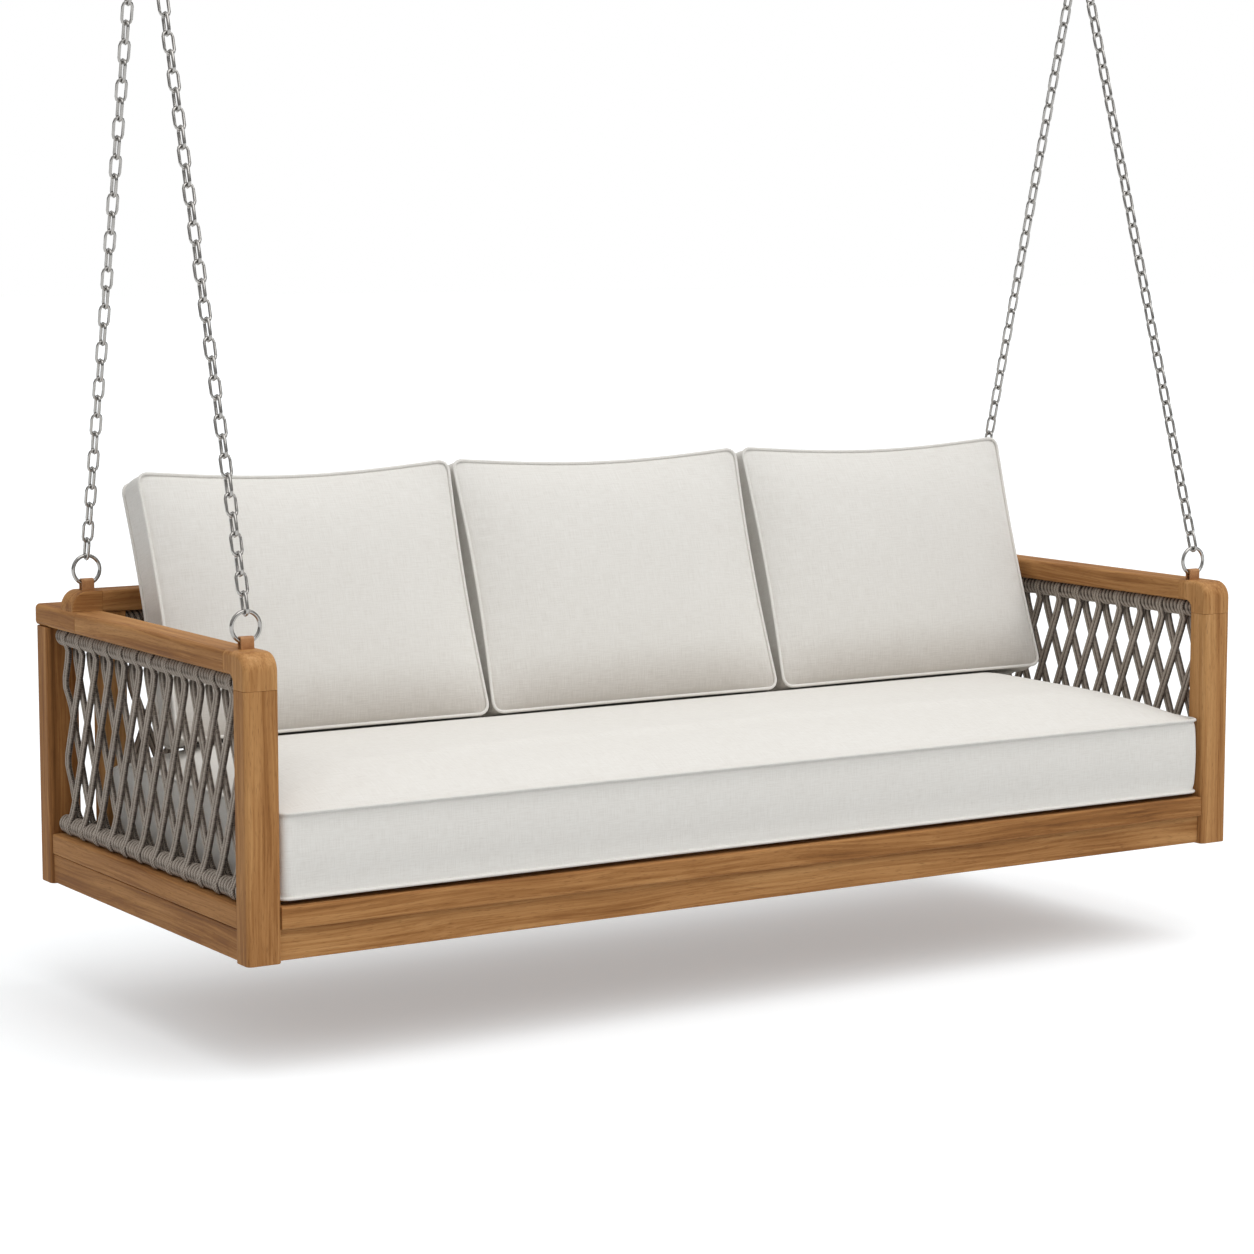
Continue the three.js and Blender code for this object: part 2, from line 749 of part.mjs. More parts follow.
for (const [name, side] of ends) {
  for (const [where, x, y, timber, hook] of [
    ["front", frontLoopX, frontLoopY, armTop, -1],
    ["back", backLoopX, backMiddle, backTop, 1],
  ]) {
    const loop = piece(`${name}_${where}_loop`, hangingLoop(), leather);
    loop.position.set(side * x, y, timber);
    const round = new THREE.TorusGeometry(ringRadius, ringWire / 2, ringSides, ringSteps);
    const ring = piece(`${name}_${where}_ring`, round.rotateX(Math.PI / 2), steel);
    ring.position.set(side * x, y, timber + ringAbove);
    const low = new THREE.Vector3(side * x, y, timber + ringAbove + ringRadius);
    const high = new THREE.Vector3(side * (hangerX + hook * linkSpread), hangerY, hangerBarZ);
    piece(`${name}_${where}_chain`, chain(low, ringWire, high, hangerBar), steel);
  }
}

// ---------------------------------------------------------------- ceiling hangers

// Each hanger is drawn about its bolt axis, which lies along X.
const eyeMiddle = hangerEyeRadius * Math.cos(Math.PI / eyeSteps) + hangerEyeStretchZ;
const eyeDrop = hangerBarrelRadius + hangerBar / 2 - hangerWeld + eyeMiddle;
const barDrop = eyeDrop + eyeMiddle; // hanger bar below the bolt axis
const earInner = hangerBarrelLength / 2 + gap;
const earOuter = earInner + earThickness;
const headInner = earOuter + gap;
const headOuter = headInner + boltHeadHeight;

function hanger() {
  const eye = wireLoop(
    hangerEyeRadius,
    hangerBar / 2,
    eyeSides,
    eyeSteps,
    hangerEyeStretchX,
    hangerEyeStretchZ,
  );
  eye.rotateX(Math.PI / 2);
  eye.translate(0, 0, -eyeDrop);
  const half = hangerBarrelLength / 2;
  const barrel = bar("x", [-half, half], [0, 0, 0], hangerBarrelRadius);
  const bore = bar("x", [-half - past, half + past], [0, 0, 0], boltDiameter / 2 + gap);
  return cut(joined(eye, barrel), bore);
}

function ceilingPlate() {
  const ear = new THREE.Shape();
  ear.moveTo(-earRadius, boltDrop + sunk);
  ear.absarc(0, 0, earRadius, Math.PI, 2 * Math.PI);
  ear.lineTo(earRadius, boltDrop + sunk);
  const plate = box(
    [-plateLength / 2, plateLength / 2],
    [-plateWidth / 2, plateWidth / 2],
    [boltDrop, boltDrop + plateThickness],
  );
  const through = [boltDrop - past, boltDrop + plateThickness + past];
  const screws = [-1, 1].flatMap((i) =>
    [-1, 1].map((j) => {
      const point = [(i * screwSpacingX) / 2, (j * screwSpacingY) / 2, 0];
      return bar("z", through, point, screwHole / 2, holeSides);
    }),
  );
  const boreRun = [-earOuter - past, earOuter + past];
  const bore = bar("x", boreRun, [0, 0, 0], boltDiameter / 2 + gap);
  const ears = [
    extrudedAlongX(ear, [-earOuter, -earInner]),
    extrudedAlongX(ear, [earInner, earOuter]),
  ];
  return cut(joined(plate, ...ears), bore, ...screws);
}

const pivotBolt = () =>
  joined(
    bar("x", [-headInner - sunk, headInner + sunk], [0, 0, 0], boltDiameter / 2),
    bar("x", [-headOuter, -headInner], [0, 0, 0], boltHeadRadius, headSides),
    bar("x", [headInner, headOuter], [0, 0, 0], boltHeadRadius, headSides),
  );

const boltZ = -plateThickness - boltDrop;
for (const [name, side] of ends)
  for (const [kind, geometry] of [
    ["hanger", hanger()],
    ["ceiling_plate", ceilingPlate()],
    ["pivot_bolt", pivotBolt()],
  ])
    piece(`${name}_${kind}`, geometry, steel, swing).position.set(side * hangerX, 0, boltZ);

seat.position.set(0, -hangerY, boltZ - barDrop - hangerBarZ);

export default swing;
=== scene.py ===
# %% [markdown]
# # A porch swing for three
#
# A long teak seat hangs on four chains from two ceiling plates. Its arms and back
# are laced with flat cord, a bench cushion fills the seat and three box cushions
# stand along the back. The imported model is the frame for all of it: each piece
# below takes its place from a node of that model, in metres, and rides with one
# of two bodies, the fittings that stay on the ceiling or the seat that swings.

# %% Load the frame
import math

import bmesh
import bpy
import numpy as np
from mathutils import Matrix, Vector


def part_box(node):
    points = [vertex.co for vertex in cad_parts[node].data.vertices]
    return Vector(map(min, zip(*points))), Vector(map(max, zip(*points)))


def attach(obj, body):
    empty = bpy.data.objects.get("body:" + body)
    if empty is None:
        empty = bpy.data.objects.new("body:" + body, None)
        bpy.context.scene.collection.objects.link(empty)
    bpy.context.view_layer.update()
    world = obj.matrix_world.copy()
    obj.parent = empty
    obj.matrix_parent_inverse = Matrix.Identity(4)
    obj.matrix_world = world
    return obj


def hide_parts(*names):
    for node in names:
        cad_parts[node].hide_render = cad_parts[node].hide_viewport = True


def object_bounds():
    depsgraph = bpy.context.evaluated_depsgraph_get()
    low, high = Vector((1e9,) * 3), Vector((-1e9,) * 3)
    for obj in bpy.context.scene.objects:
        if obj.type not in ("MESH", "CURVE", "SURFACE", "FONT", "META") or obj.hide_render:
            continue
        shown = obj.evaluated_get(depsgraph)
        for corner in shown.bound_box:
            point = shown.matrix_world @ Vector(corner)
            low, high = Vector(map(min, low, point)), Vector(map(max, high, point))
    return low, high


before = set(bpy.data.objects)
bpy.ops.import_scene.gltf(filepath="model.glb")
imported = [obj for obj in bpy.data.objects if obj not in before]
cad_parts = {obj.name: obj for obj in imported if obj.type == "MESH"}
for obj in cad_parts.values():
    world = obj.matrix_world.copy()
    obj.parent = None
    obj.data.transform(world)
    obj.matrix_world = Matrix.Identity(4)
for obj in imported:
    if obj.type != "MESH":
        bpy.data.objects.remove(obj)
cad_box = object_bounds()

CEILING, SWING = "ceiling_fittings", "hanging_seat"
MM = 0.001


def added(name, data):
    """A new object in the scene."""
    made = bpy.data.objects.new(name, data)
    bpy.context.scene.collection.objects.link(made)
    return made


# %% [markdown]
# ## The camera
#
# The swing is seen from its front left, a little from above, through a long lens
# at standing distance. A long lens keeps the two arms nearly parallel, as in a
# catalogue picture.

# %% Place the camera
camera = added("camera", bpy.data.cameras.new("camera"))
camera.data.sensor_width = 36.0
camera.data.lens = 94.17
camera.location = (-3.13825, -4.90389, -0.666175)
camera.rotation_euler = (math.radians(83.183), 0.0, math.radians(-32.189))
bpy.context.scene.camera = camera
print("camera at", [round(value, 2) for value in camera.location])

# %% [markdown]
# ## A short way to write materials
#
# A material is a tree of nodes, and joining one by hand for each sum takes long.
# Here a small class stands for one value in the tree: adding or multiplying it in
# Python adds the Math node. Every other kind of node comes from one method, which
# takes the node's settings first and then what goes into its sockets.

# %% Materials as expressions
class Value:
    """A socket's value in a tree of nodes. + - * and ** on it add Math nodes."""

    def __init__(self, finish, socket):
        self.finish = finish
        self.socket = socket

    def maths(self, operation, *values):
        return self.finish.node("ShaderNodeMath", {"operation": operation}, enumerate(values))

    def __add__(self, other):
        return self.maths("ADD", self, other)

    __radd__ = __add__

    def __sub__(self, other):
        return self.maths("SUBTRACT", self, other)

    def __rsub__(self, other):
        return self.maths("SUBTRACT", other, self)

    def __mul__(self, other):
        return self.maths("MULTIPLY", self, other)

    __rmul__ = __mul__

    def __pow__(self, other):
        return self.maths("POWER", self, other)

    def sine(self):
        return self.maths("SINE", self)

    def beside(self, out):
        """Another output of the same node."""
        return Value(self.finish, self.socket.node.outputs[out])


class Finish:
    """A material or a world, and the nodes that make it."""

    def __init__(self, name, kind="materials"):
        self.data = getattr(bpy.data, kind).new(name)
        self.data.use_nodes = True
        self.tree = self.data.node_tree
        self.tree.nodes.clear()

    def node(self, kind, settings=(), sockets=(), out=0):
        """Adds a node of one kind: its settings, a ramp's stops, then its sockets."""
        made = self.tree.nodes.new(kind)
        for name, setting in dict(settings).items():
            if name == "stops":
                elements = made.color_ramp.elements
                while len(elements) < len(setting):
                    elements.new(1.0)
                for element, (place, colour) in zip(elements, setting):
                    element.position = place
                    element.color = colour
            else:
                setattr(made, name, setting)
        for name, value in dict(sockets).items():
            if isinstance(value, Value):
                self.tree.links.new(value.socket, made.inputs[name])
            else:
                made.inputs[name].default_value = value
        return Value(self, made.outputs[out]) if made.outputs else None


def paint(red, green, blue):
    """A colour as a paint chart gives it, 0 to 255, as the light values a node holds."""
    chart = np.array([red, green, blue]) / 255
    light = np.where(chart <= 0.04045, chart / 12.92, ((chart + 0.055) / 1.055) ** 2.4)
    return (*light.tolist(), 1.0)


print("mid grey is", round(paint(128, 128, 128)[0], 3), "as light")

# %% [markdown]
# ## Shared shader parts
#
# All of the finishes need the same few things: a noise that can be stretched along
# one direction, a mix of two colours, and a surface with a little relief. A fibre
# or a grain line is a noise that is stretched along the fibre.

# %% Shared shader parts
def stretched(finish, place, x, y, z):
    """A place multiplied by a number along each axis."""
    return finish.node("ShaderNodeVectorMath", {"operation": "MULTIPLY"}, {0: place, 1: (x, y, z)})


def noise(finish, place, scale=1.0, detail=2.0, roughness=0.5, out=0):
    """Cloudy values from 0 to 1, mostly near a half."""
    sockets = {"Vector": place, "Scale": scale, "Detail": detail, "Roughness": roughness}
    return finish.node("ShaderNodeTexNoise", {"noise_dimensions": "3D"}, sockets, out)


def streaks(finish, place, x, y, z, detail, roughness=0.5, out=0):
    """A noise squeezed by a number along each axis: a small number draws it out."""
    return noise(finish, stretched(finish, place, x, y, z), 1.0, detail, roughness, out)


def mixed(finish, share, first, second, blend="MIX"):
    """Two colours mixed by a share from 0 to 1."""
    settings = {"data_type": "RGBA", "blend_type": blend}
    return finish.node("ShaderNodeMix", settings, {0: share, 6: first, 7: second}, 2)


def ramp(finish, value, *stops):
    """A colour that follows a value through some stops."""
    return finish.node("ShaderNodeValToRGB", {"stops": stops}, {0: value})


def relief(finish, height, distance, strength=1.0):
    """A normal that is tilted by a height, given in shares of a distance in metres."""
    sockets = {"Height": height, "Distance": distance, "Strength": strength}
    return finish.node("ShaderNodeBump", (), sockets)


def surfaced(finish, **sockets):
    """Closes a finish with one Principled surface and returns the material."""
    named = {name.replace("_", " "): value for name, value in sockets.items()}
    shader = finish.node("ShaderNodeBsdfPrincipled", (), named)
    finish.node("ShaderNodeOutputMaterial", (), {"Surface": shader})
    return finish.data


print("shader parts: stretched, noise, streaks, mixed, ramp, relief, surfaced")

# %% [markdown]
# ## Oiled teak
#
# Teak has straight grain: long streaks of darker and lighter brown, fine dark
# pores drawn out along the fibre, and a slow change of tone from board to board.
# A wood pattern could be painted on each face, but a solid pattern is truer,
# because it then shows end grain on an end by itself. So each board carries its own
# grain directions as an attribute, with x along the fibre, and its own tone.

# %% The teak finish
def teak_finish():
    """Streaks along the fibre, drawn sideways by a slow sway, with pores and tone."""
    teak = Finish("oiled_teak")
    grain = teak.node("ShaderNodeAttribute", {"attribute_name": "grain"}, (), "Vector")
    tone = teak.node("ShaderNodeAttribute", {"attribute_name": "tone"}, (), "Fac")
    drift = streaks(teak, grain, 1.7, 7.0, 7.0, 2.0, 0.5, "Color")
    sway = stretched(teak, drift, 0.0, 0.045, 0.045)
    fibre = teak.node("ShaderNodeVectorMath", {"operation": "ADD"}, {0: grain, 1: sway})
    rings = streaks(teak, fibre, 0.9, 46.0, 46.0, 3.0, 0.55)
    lines = streaks(teak, fibre, 4.0, 230.0, 230.0, 3.0, 0.6)
    pores = streaks(teak, fibre, 55.0, 900.0, 900.0, 1.0)
    cloud = streaks(teak, grain, 2.3, 13.0, 13.0, 2.0)
    shade = 0.5 + (rings - 0.5) * 0.95 + (lines - 0.5) * 0.9 + (cloud - 0.5) * 0.7 + tone * 0.10
    wood = ramp(
        teak,
        shade,
        (0.05, paint(110, 70, 36)),
        (0.35, paint(148, 100, 55)),
        (0.55, paint(171, 122, 73)),
        (0.78, paint(189, 141, 89)),
        (1.0, paint(202, 156, 107)),
    )
    dark = teak.node("ShaderNodeMapRange", (), {0: pores, 1: 0.60, 2: 0.72, 3: 0.0, 4: 0.42})
    colour = mixed(teak, dark, wood, paint(96, 58, 30))
    height = (lines - 0.5) * 0.5 + (rings - 0.5) * 0.6 - dark * 0.8
    return surfaced(
        teak,
        Base_Color=colour,
        Roughness=0.6 + (lines - 0.5) * 0.25,
        Normal=relief(teak, height, 0.00035, 0.8),
        Specular_IOR_Level=0.14,
    )


teak = teak_finish()
print("teak:", len(teak.node_tree.nodes), "nodes")

# %% [markdown]
# ## Linen cloth
#
# The cushions wear a heavy off-white plain weave. Up close it is a grid of threads
# that pass over and under each other; from a few steps away only the slubs show,
# where a thread is thicker for a while, as faint streaks along both directions.
# The cloth carries its own map in metres, so threads keep one size on every panel.

# %% The linen finish
THREAD_PAIR = 1.5 * MM


def linen_finish():
    """Two crossing sets of threads, slubs stretched along each, and painted shade where the mesh
    asks for it.
    """
    linen = Finish("linen")
    cloth = linen.node("ShaderNodeUVMap", {"uv_map": "cloth"})
    across = linen.node("ShaderNodeSeparateXYZ", (), {0: cloth})
    turn = 2 * math.pi / THREAD_PAIR
    weave = (across * turn).sine() * (across.beside(1) * turn).sine()
    slub_weft = streaks(linen, cloth, 35.0, 620.0, 1.0, 2.0, 0.6)
    slub_warp = streaks(linen, cloth, 620.0, 35.0, 1.0, 2.0, 0.6)
    cloud = streaks(linen, cloth, 9.0, 9.0, 1.0, 3.0, 0.6)
    shade = 0.5 + (slub_weft - 0.5) * 0.42 + (slub_warp - 0.5) * 0.42 + (cloud - 0.5) * 0.1
    # Painted shade: the linen is darkened by a per-point amount that a cushion sets towards its
    # foot.
    painted_shade = linen.node("ShaderNodeAttribute", {"attribute_name": "handled"}, (), "Fac")
    colour = ramp(
        linen,
        shade + weave * 0.06 - painted_shade,
        (0.0, paint(196, 190, 182)),
        (0.2, paint(211, 206, 199)),
        (0.5, paint(228, 225, 219)),
        (0.85, paint(240, 238, 234)),
    )
    height = weave * 0.5 + (slub_weft - 0.5) * 0.8 + (slub_warp - 0.5) * 0.8
    return surfaced(
        linen,
        Base_Color=colour,
        Roughness=0.9,
        Normal=relief(linen, height, 0.00022, 0.7),
        Specular_IOR_Level=0.2,
        Sheen_Weight=0.12,
        Sheen_Roughness=0.6,
    )


linen = linen_finish()
print("linen:", len(linen.node_tree.nodes), "nodes")

# %% [markdown]
# ## Braided cord, leather and steel
#
# The lacing is a flat braided cord of two ribs, in a heathered taupe. A braid is
# made of short strands that slope one way on one rib and the other way on the next.
# The hanging loops are tan leather, with a fine pebble. The chain is zinc-bright
# steel, whose shine comes from what surrounds it, so its finish is nearly plain:
# only its roughness and a faint cloudiness vary.

# %% The cord, leather and steel finishes
STRAND_PAIR, ROPE_EDGE = 3.4 * MM, 4.3 * MM


def cord_finish():
    """Sloping strands along the cord's own map, with painted shade at the edges of each rope."""
    cord = Finish("braided_cord")
    strand = cord.node("ShaderNodeUVMap", {"uv_map": "strand"})
    along = cord.node("ShaderNodeSeparateXYZ", (), {0: strand})
    across = along.beside(1)
    turn = 2 * math.pi / STRAND_PAIR
    slope = across.maths("ABSOLUTE", across)
    braid = ((along + slope * 0.9) * turn).sine()
    # Painted shade: colour darkens towards each rope's edges, in the crease between the two ropes
    # and between the turns of a winding.
    painted_groove_shade = (slope * (1 / ROPE_EDGE)) ** 3
    heather = streaks(cord, strand, 260.0, 700.0, 1.0, 2.0, 0.7)
    worn = streaks(cord, strand, 14.0, 60.0, 1.0, 2.0)
    shade = 0.62 + braid * 0.14 + (heather - 0.5) * 0.9 + (worn - 0.5) * 0.4 - painted_groove_shade * 0.7
    colour = ramp(
        cord,
        shade,
        (0.0, paint(58, 50, 44)),
        (0.3, paint(124, 113, 103)),
        (0.58, paint(174, 162, 150)),
        (0.9, paint(206, 195, 183)),
    )
    height = braid * 0.5 + (heather - 0.5) * 0.6
    return surfaced(
        cord,
        Base_Color=colour,
        Roughness=0.82,
        Normal=relief(cord, height, 0.0006, 0.8),
        Specular_IOR_Level=0.25,
    )


def leather_finish():
    """A tan ground with darker pores, pebbled by a fine cell pattern."""
    leather = Finish("tan_leather")
    place = leather.node("ShaderNodeTexCoord", (), (), "Object")
    pebble = leather.node("ShaderNodeTexVoronoi", (), {"Vector": place, "Scale": 900.0})
    cloud = noise(leather, place, 60.0, 3.0, 0.6)
    colour = ramp(
        leather,
        0.5 + (cloud - 0.5) * 1.2 + (pebble - 0.5) * 0.3,
        (0.2, paint(150, 101, 59)),
        (0.5, paint(174, 122, 75)),
        (0.85, paint(192, 142, 93)),
    )
    return surfaced(
        leather,
        Base_Color=colour,
        Roughness=0.55 + (cloud - 0.5) * 0.2,
        Normal=relief(leather, pebble, 0.0003, 0.6),
    )


def steel_finish(name, tint, low, spread):
    """Bare metal whose roughness wanders a little about a low value."""
    steel = Finish(name)
    place = steel.node("ShaderNodeTexCoord", (), (), "Object")
    cloud = noise(steel, place, 90.0, 3.0, 0.6)
    dull = paint(*(0.9 * part for part in tint))
    colour = ramp(steel, cloud, (0.25, dull), (0.7, paint(*tint)))
    return surfaced(steel, Base_Color=colour, Metallic=1.0, Roughness=low + cloud * spread)


cord = cord_finish()
leather = leather_finish()
chain_steel = steel_finish("zinc_bright_steel", (176, 173, 169), 0.14, 0.12)
fitting_steel = steel_finish("brushed_steel", (176, 174, 171), 0.24, 0.2)
print("finishes:", [made.name for made in (cord, leather, chain_steel, fitting_steel)])

# %% [markdown]
# ## Grids of points
#
# Nearly every piece is a grid: rows of points that a formula gives, joined to their
# neighbours by four-sided faces. A rod or a ring is a grid that closes on itself.
# The helpers below number the faces, turn them outwards by the sign of the volume
# they enclose, and close open ends with one flat face each.

# %% Grid helpers
def stacked(*parts):
    """Arrays spread to one shape and set side by side along a new last axis."""
    return np.stack(np.broadcast_arrays(*parts), -1)


def circle(turn):
    """Points of a circle of radius 1."""
    return stacked(np.cos(turn), np.sin(turn))


def unit(vectors):
    """Each vector at length 1."""
    return vectors / np.linalg.norm(vectors, axis=-1, keepdims=True)


def run_along(paths):
    """Metres along each path, from 0 at its start."""
    step = np.linalg.norm(np.diff(paths, axis=-2), axis=-1)
    return np.concatenate([0 * step[..., :1], np.cumsum(step, -1)], -1)


def swept(paths, section, wide, up):
    """A section carried along paths: its x along the wide direction, its y along up."""
    x, y = section[:, :1], section[:, 1:]
    return paths[..., None, :] + x * wide[..., None, :] + y * up[..., None, :]


def gathered(items, field, width=1, kind=float):
    """One field of every item in a Blender collection, as an array."""
    values = np.empty(len(items) * width, kind)
    items.foreach_get(field, values)
    return values.reshape(-1, width) if width > 1 else values


def grid_faces(rows, columns, ring_rows=False, ring_columns=False):
    """Faces between neighbours of a grid that is numbered row by row."""
    row = np.arange(rows if ring_rows else rows - 1)[:, None]
    column = np.arange(columns if ring_columns else columns - 1)[None, :]
    number = lambda i, j: (i % rows) * columns + j % columns
    corners = [number(row, column), number(row, column + 1)]
    corners += [number(row + 1, column + 1), number(row + 1, column)]
    return np.stack(corners, -1).reshape(-1, 4)


def volume_of(points, faces):
    """The sum of the corner tetrahedra of each four-sided face's two triangles."""
    a, b, c, d = (points[faces[:, k]] for k in range(4))
    return (np.cross(a, b) * c).sum() + (np.cross(a, c) * d).sum()


def closed_grid(points, faces, caps=()):
    """Faces of one closed body as lists, all turned to face outwards."""
    centred = points - points.mean(0)
    lists = faces.tolist() + [list(cap) for cap in caps]
    if volume_of(centred, faces) < 0:
        lists = [face[::-1] for face in lists]
    return lists


def tube(rows, closed=False):
    """Flat points and outward faces of a tube of (rows, columns, 3) points, which closes
    on itself or has a flat face at each end."""
    count, columns = rows.shape[:2]
    flat, first = rows.reshape(-1, 3), np.arange(columns)
    caps = () if closed else (first[::-1], first + (count - 1) * columns)
    return flat, closed_grid(flat, grid_faces(count, columns, closed, True), caps)


def meshed(name, points, faces):
    """A mesh from an array of points and faces as lists."""
    mesh = bpy.data.meshes.new(name)
    mesh.from_pydata(points.tolist(), [], faces)
    return mesh


def piece(name, solids, finish, rides=SWING, stands_for=(), corner_angle=40.0):
    """One object from (points, faces, attributes) solids, riding and standing for nodes."""
    starts = np.cumsum([0] + [len(solid[0]) for solid in solids]).tolist()
    faces = [[corner + start for corner in face]
             for start, solid in zip(starts, solids) for face in solid[1]]
    mesh = meshed(name, np.concatenate([solid[0] for solid in solids]), faces)
    for key in solids[0][2]:
        values = np.concatenate([solid[2][key] for solid in solids]).astype(np.float32)
        if values.ndim == 1:
            mesh.attributes.new(key, "FLOAT", "POINT").data.foreach_set("value", values)
        elif values.shape[1] == 3:
            layer = mesh.attributes.new(key, "FLOAT_VECTOR", "POINT")
            layer.data.foreach_set("vector", values.ravel())
        else:
            loops = gathered(mesh.loops, "vertex_index", kind=np.int32)
            mesh.uv_layers.new(name=key).data.foreach_set("uv", values[loops].ravel())
    mesh.materials.append(finish)
    mesh.shade_smooth()
    if corner_angle:
        mesh.set_sharp_from_angle(angle=math.radians(corner_angle))
    made = added(name, mesh)
    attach(made, rides)
    if stands_for:
        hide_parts(*stands_for)
    return made


def spanned(node):
    """A node's lowest and highest corner as arrays."""
    low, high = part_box(node)
    return np.array(low), np.array(high)


print("grid helpers ready")

# %% [markdown]
# ## Boards with soft edges
#
# A board is a rounded rectangle carried along its length. Sharp edges would look
# like paper: on real timber each one is eased, and it is the eased edge that
# catches the light. At a joint the ends are eased by less than a millimetre, which
# draws the fine dark line between two pieces of an arm.

# %% Boards
RUNS = {"x": (1, 2, 0), "y": (2, 0, 1), "z": (0, 1, 2)}
END_EASE = 0.7 * MM


def rounded_outline(width, depth, radius, steps=5):
    """Four quarter circles, each about a centre one radius in from its corner."""
    turn = np.linspace(0, np.pi / 2, steps + 1)
    quarters = turn[None] + np.arange(4)[:, None] * np.pi / 2
    side = np.array([[1, 1], [-1, 1], [-1, -1], [1, -1]])
    centre = side * (np.array([width, depth]) / 2 - radius)
    return (centre[:, None] + radius * circle(quarters)).reshape(-1, 2)


def grain_of(points, axis, number):
    """Places turned so that x runs along the fibre, moved off by the board's number."""
    turned = points[:, [RUNS[axis][2], RUNS[axis][0], RUNS[axis][1]]]
    away = np.array([1.37 * number, 0.71 * number % 3, 1.13 * number % 4])
    tone = np.full(len(points), math.sin(2.4 * number))
    return {"grain": turned + away, "tone": tone}


def grained(rows, axis, number):
    """A board's closed solid from its rows of points, with its grain."""
    points, faces = tube(rows)
    return points, faces, grain_of(points, axis, number)


def board(low, high, axis, radius, number):
    """A rounded outline at four stations; at the two ends it is drawn in by the ease."""
    across, up, along = RUNS[axis]
    size, middle = high - low, (high + low) / 2
    stations = [(low[along], END_EASE), (low[along] + END_EASE, 0.0)]
    stations += [(high[along] - END_EASE, 0.0), (high[along], END_EASE)]
    rows = []
    for station, inset in stations:
        outline = rounded_outline(size[across] - 2 * inset, size[up] - 2 * inset, radius)
        row = np.empty((len(outline), 3))
        row[:, across] = outline[:, 0] + middle[across]
        row[:, up] = outline[:, 1] + middle[up]
        row[:, along] = station
        rows.append(row)
    return grained(np.stack(rows), axis, number)


def crisp(made):
    """Shades flat faces flat and rounded edges round, by weighing each face's area."""
    weighted = made.modifiers.new("weighted normals", "WEIGHTED_NORMAL")
    weighted.keep_sharp = True
    return made


POST_RADIUS, BOARD_RADIUS, APRON_RADIUS = 8 * MM, 4 * MM, 2 * MM
# One board takes its grain from further along the pattern than its number says.
REGRAINED = {"right_front_post": 20}
timber = {}
for side in ("left", "right"):
    timber[f"{side}_front_post"] = ("z", POST_RADIUS)
    timber[f"{side}_back_post"] = ("z", POST_RADIUS)
    timber[f"{side}_arm_rail"] = ("y", POST_RADIUS)
    timber[f"{side}_side_rail"] = ("y", BOARD_RADIUS)
    timber[f"{side}_side_apron"] = ("y", APRON_RADIUS)
    timber[f"{side}_back_stile"] = ("z", BOARD_RADIUS)
for name in ("front_rail", "back_seat_rail", "back_top_rail"):
    timber[name] = ("x", BOARD_RADIUS)
for name in ("front_apron", "back_apron", *(f"seat_slat_{i}" for i in range(1, 6))):
    timber[name] = ("x", APRON_RADIUS)
for name in ("left", "middle", "right"):
    timber[f"{name}_seat_bearer"] = ("y", APRON_RADIUS)
for number, (name, (axis, radius)) in enumerate(timber.items(), 1):
    low, high = spanned(name)
    solid = board(low, high, axis, radius, number + REGRAINED.get(name, 0))
    crisp(piece(f"{name}_timber", [solid], teak, stands_for=[name]))
print(len(timber), "boards")

# %% [markdown]
# ## Elbows and back corners
#
# Each front post turns into its arm through an elbow cut from one thick block: its
# outline is drawn in the side plane and carried across the arm. At the back, a
# raised part crosses the corner block and ends in a quarter round. A modifier could
# bevel such blocks, but drawing the outline in a little at each side, along a
# quarter circle, rounds every edge by the same radius and gives clean faces.

# %% Rounded blocks
def drawn_in(outline, inset):
    """Each corner moved inwards so that both of its edges move by the inset."""
    edge = unit(np.roll(outline, -1, 0) - outline)
    after = np.stack([edge[:, 1], -edge[:, 0]], -1)
    before = np.roll(after, 1, 0)
    share = 1 + (after * before).sum(1)
    return outline - inset * (after + before) / share[:, None]


def arc(centre, radii, start, end, steps=8):
    """Points of an ellipse's arc from one angle to another, in degrees."""
    turn = np.radians(np.linspace(start, end, steps + 1))
    return np.array(centre) + np.array(radii) * circle(turn)


def block(outline, plane, axis, low, high, radius, steps=5):
    """Rows of an anticlockwise outline carried along an axis, with its edges rounded at
    both sides: the inset is r (1 - sin t) where the depth is r (1 - cos t)."""
    turn = np.linspace(0, np.pi / 2, steps + 1)
    insets, depths = radius * (1 - np.sin(turn)), radius * (1 - np.cos(turn))
    rows = []
    for inset, place in [*zip(insets, low + depths), *zip(insets[::-1], high - depths[::-1])]:
        row = np.empty((len(outline), 3))
        row[:, list(plane)] = drawn_in(outline, inset)
        row[:, axis] = place
        rows.append(row)
    return np.stack(rows)


ELBOW_OUTER, ELBOW_INNER, SPARE = 30 * MM, 15 * MM, 24 * MM
for side, number in (("left", 40), ("right", 48)):
    low, high = spanned(f"{side}_arm_elbow")
    leg_back = spanned(f"{side}_front_post")[1][1]
    arm_bottom = spanned(f"{side}_arm_rail")[0][2]
    bend = (leg_back + ELBOW_INNER, arm_bottom - ELBOW_INNER)
    top = (low[1] + ELBOW_OUTER, high[2] - ELBOW_OUTER)
    outline = np.concatenate([
        [(low[1], low[2] - SPARE), (leg_back, low[2] - SPARE)],
        arc(bend, (ELBOW_INNER, ELBOW_INNER), 180, 90),
        [(high[1] + SPARE, arm_bottom), (high[1] + SPARE, high[2])],
        arc(top, (ELBOW_OUTER, ELBOW_OUTER), 90, 180),
    ])
    rows = block(outline, (1, 2), 0, low[0], high[0], POST_RADIUS)
    rows[..., 1] = np.minimum(rows[..., 1], high[1])
    rows[..., 2] = np.maximum(rows[..., 2], low[2])
    name, solid = f"{side}_arm_elbow", grained(rows, "z", number)
    crisp(piece(f"{name}_timber", [solid], teak, stands_for=[name], corner_angle=50))
print("elbows done")

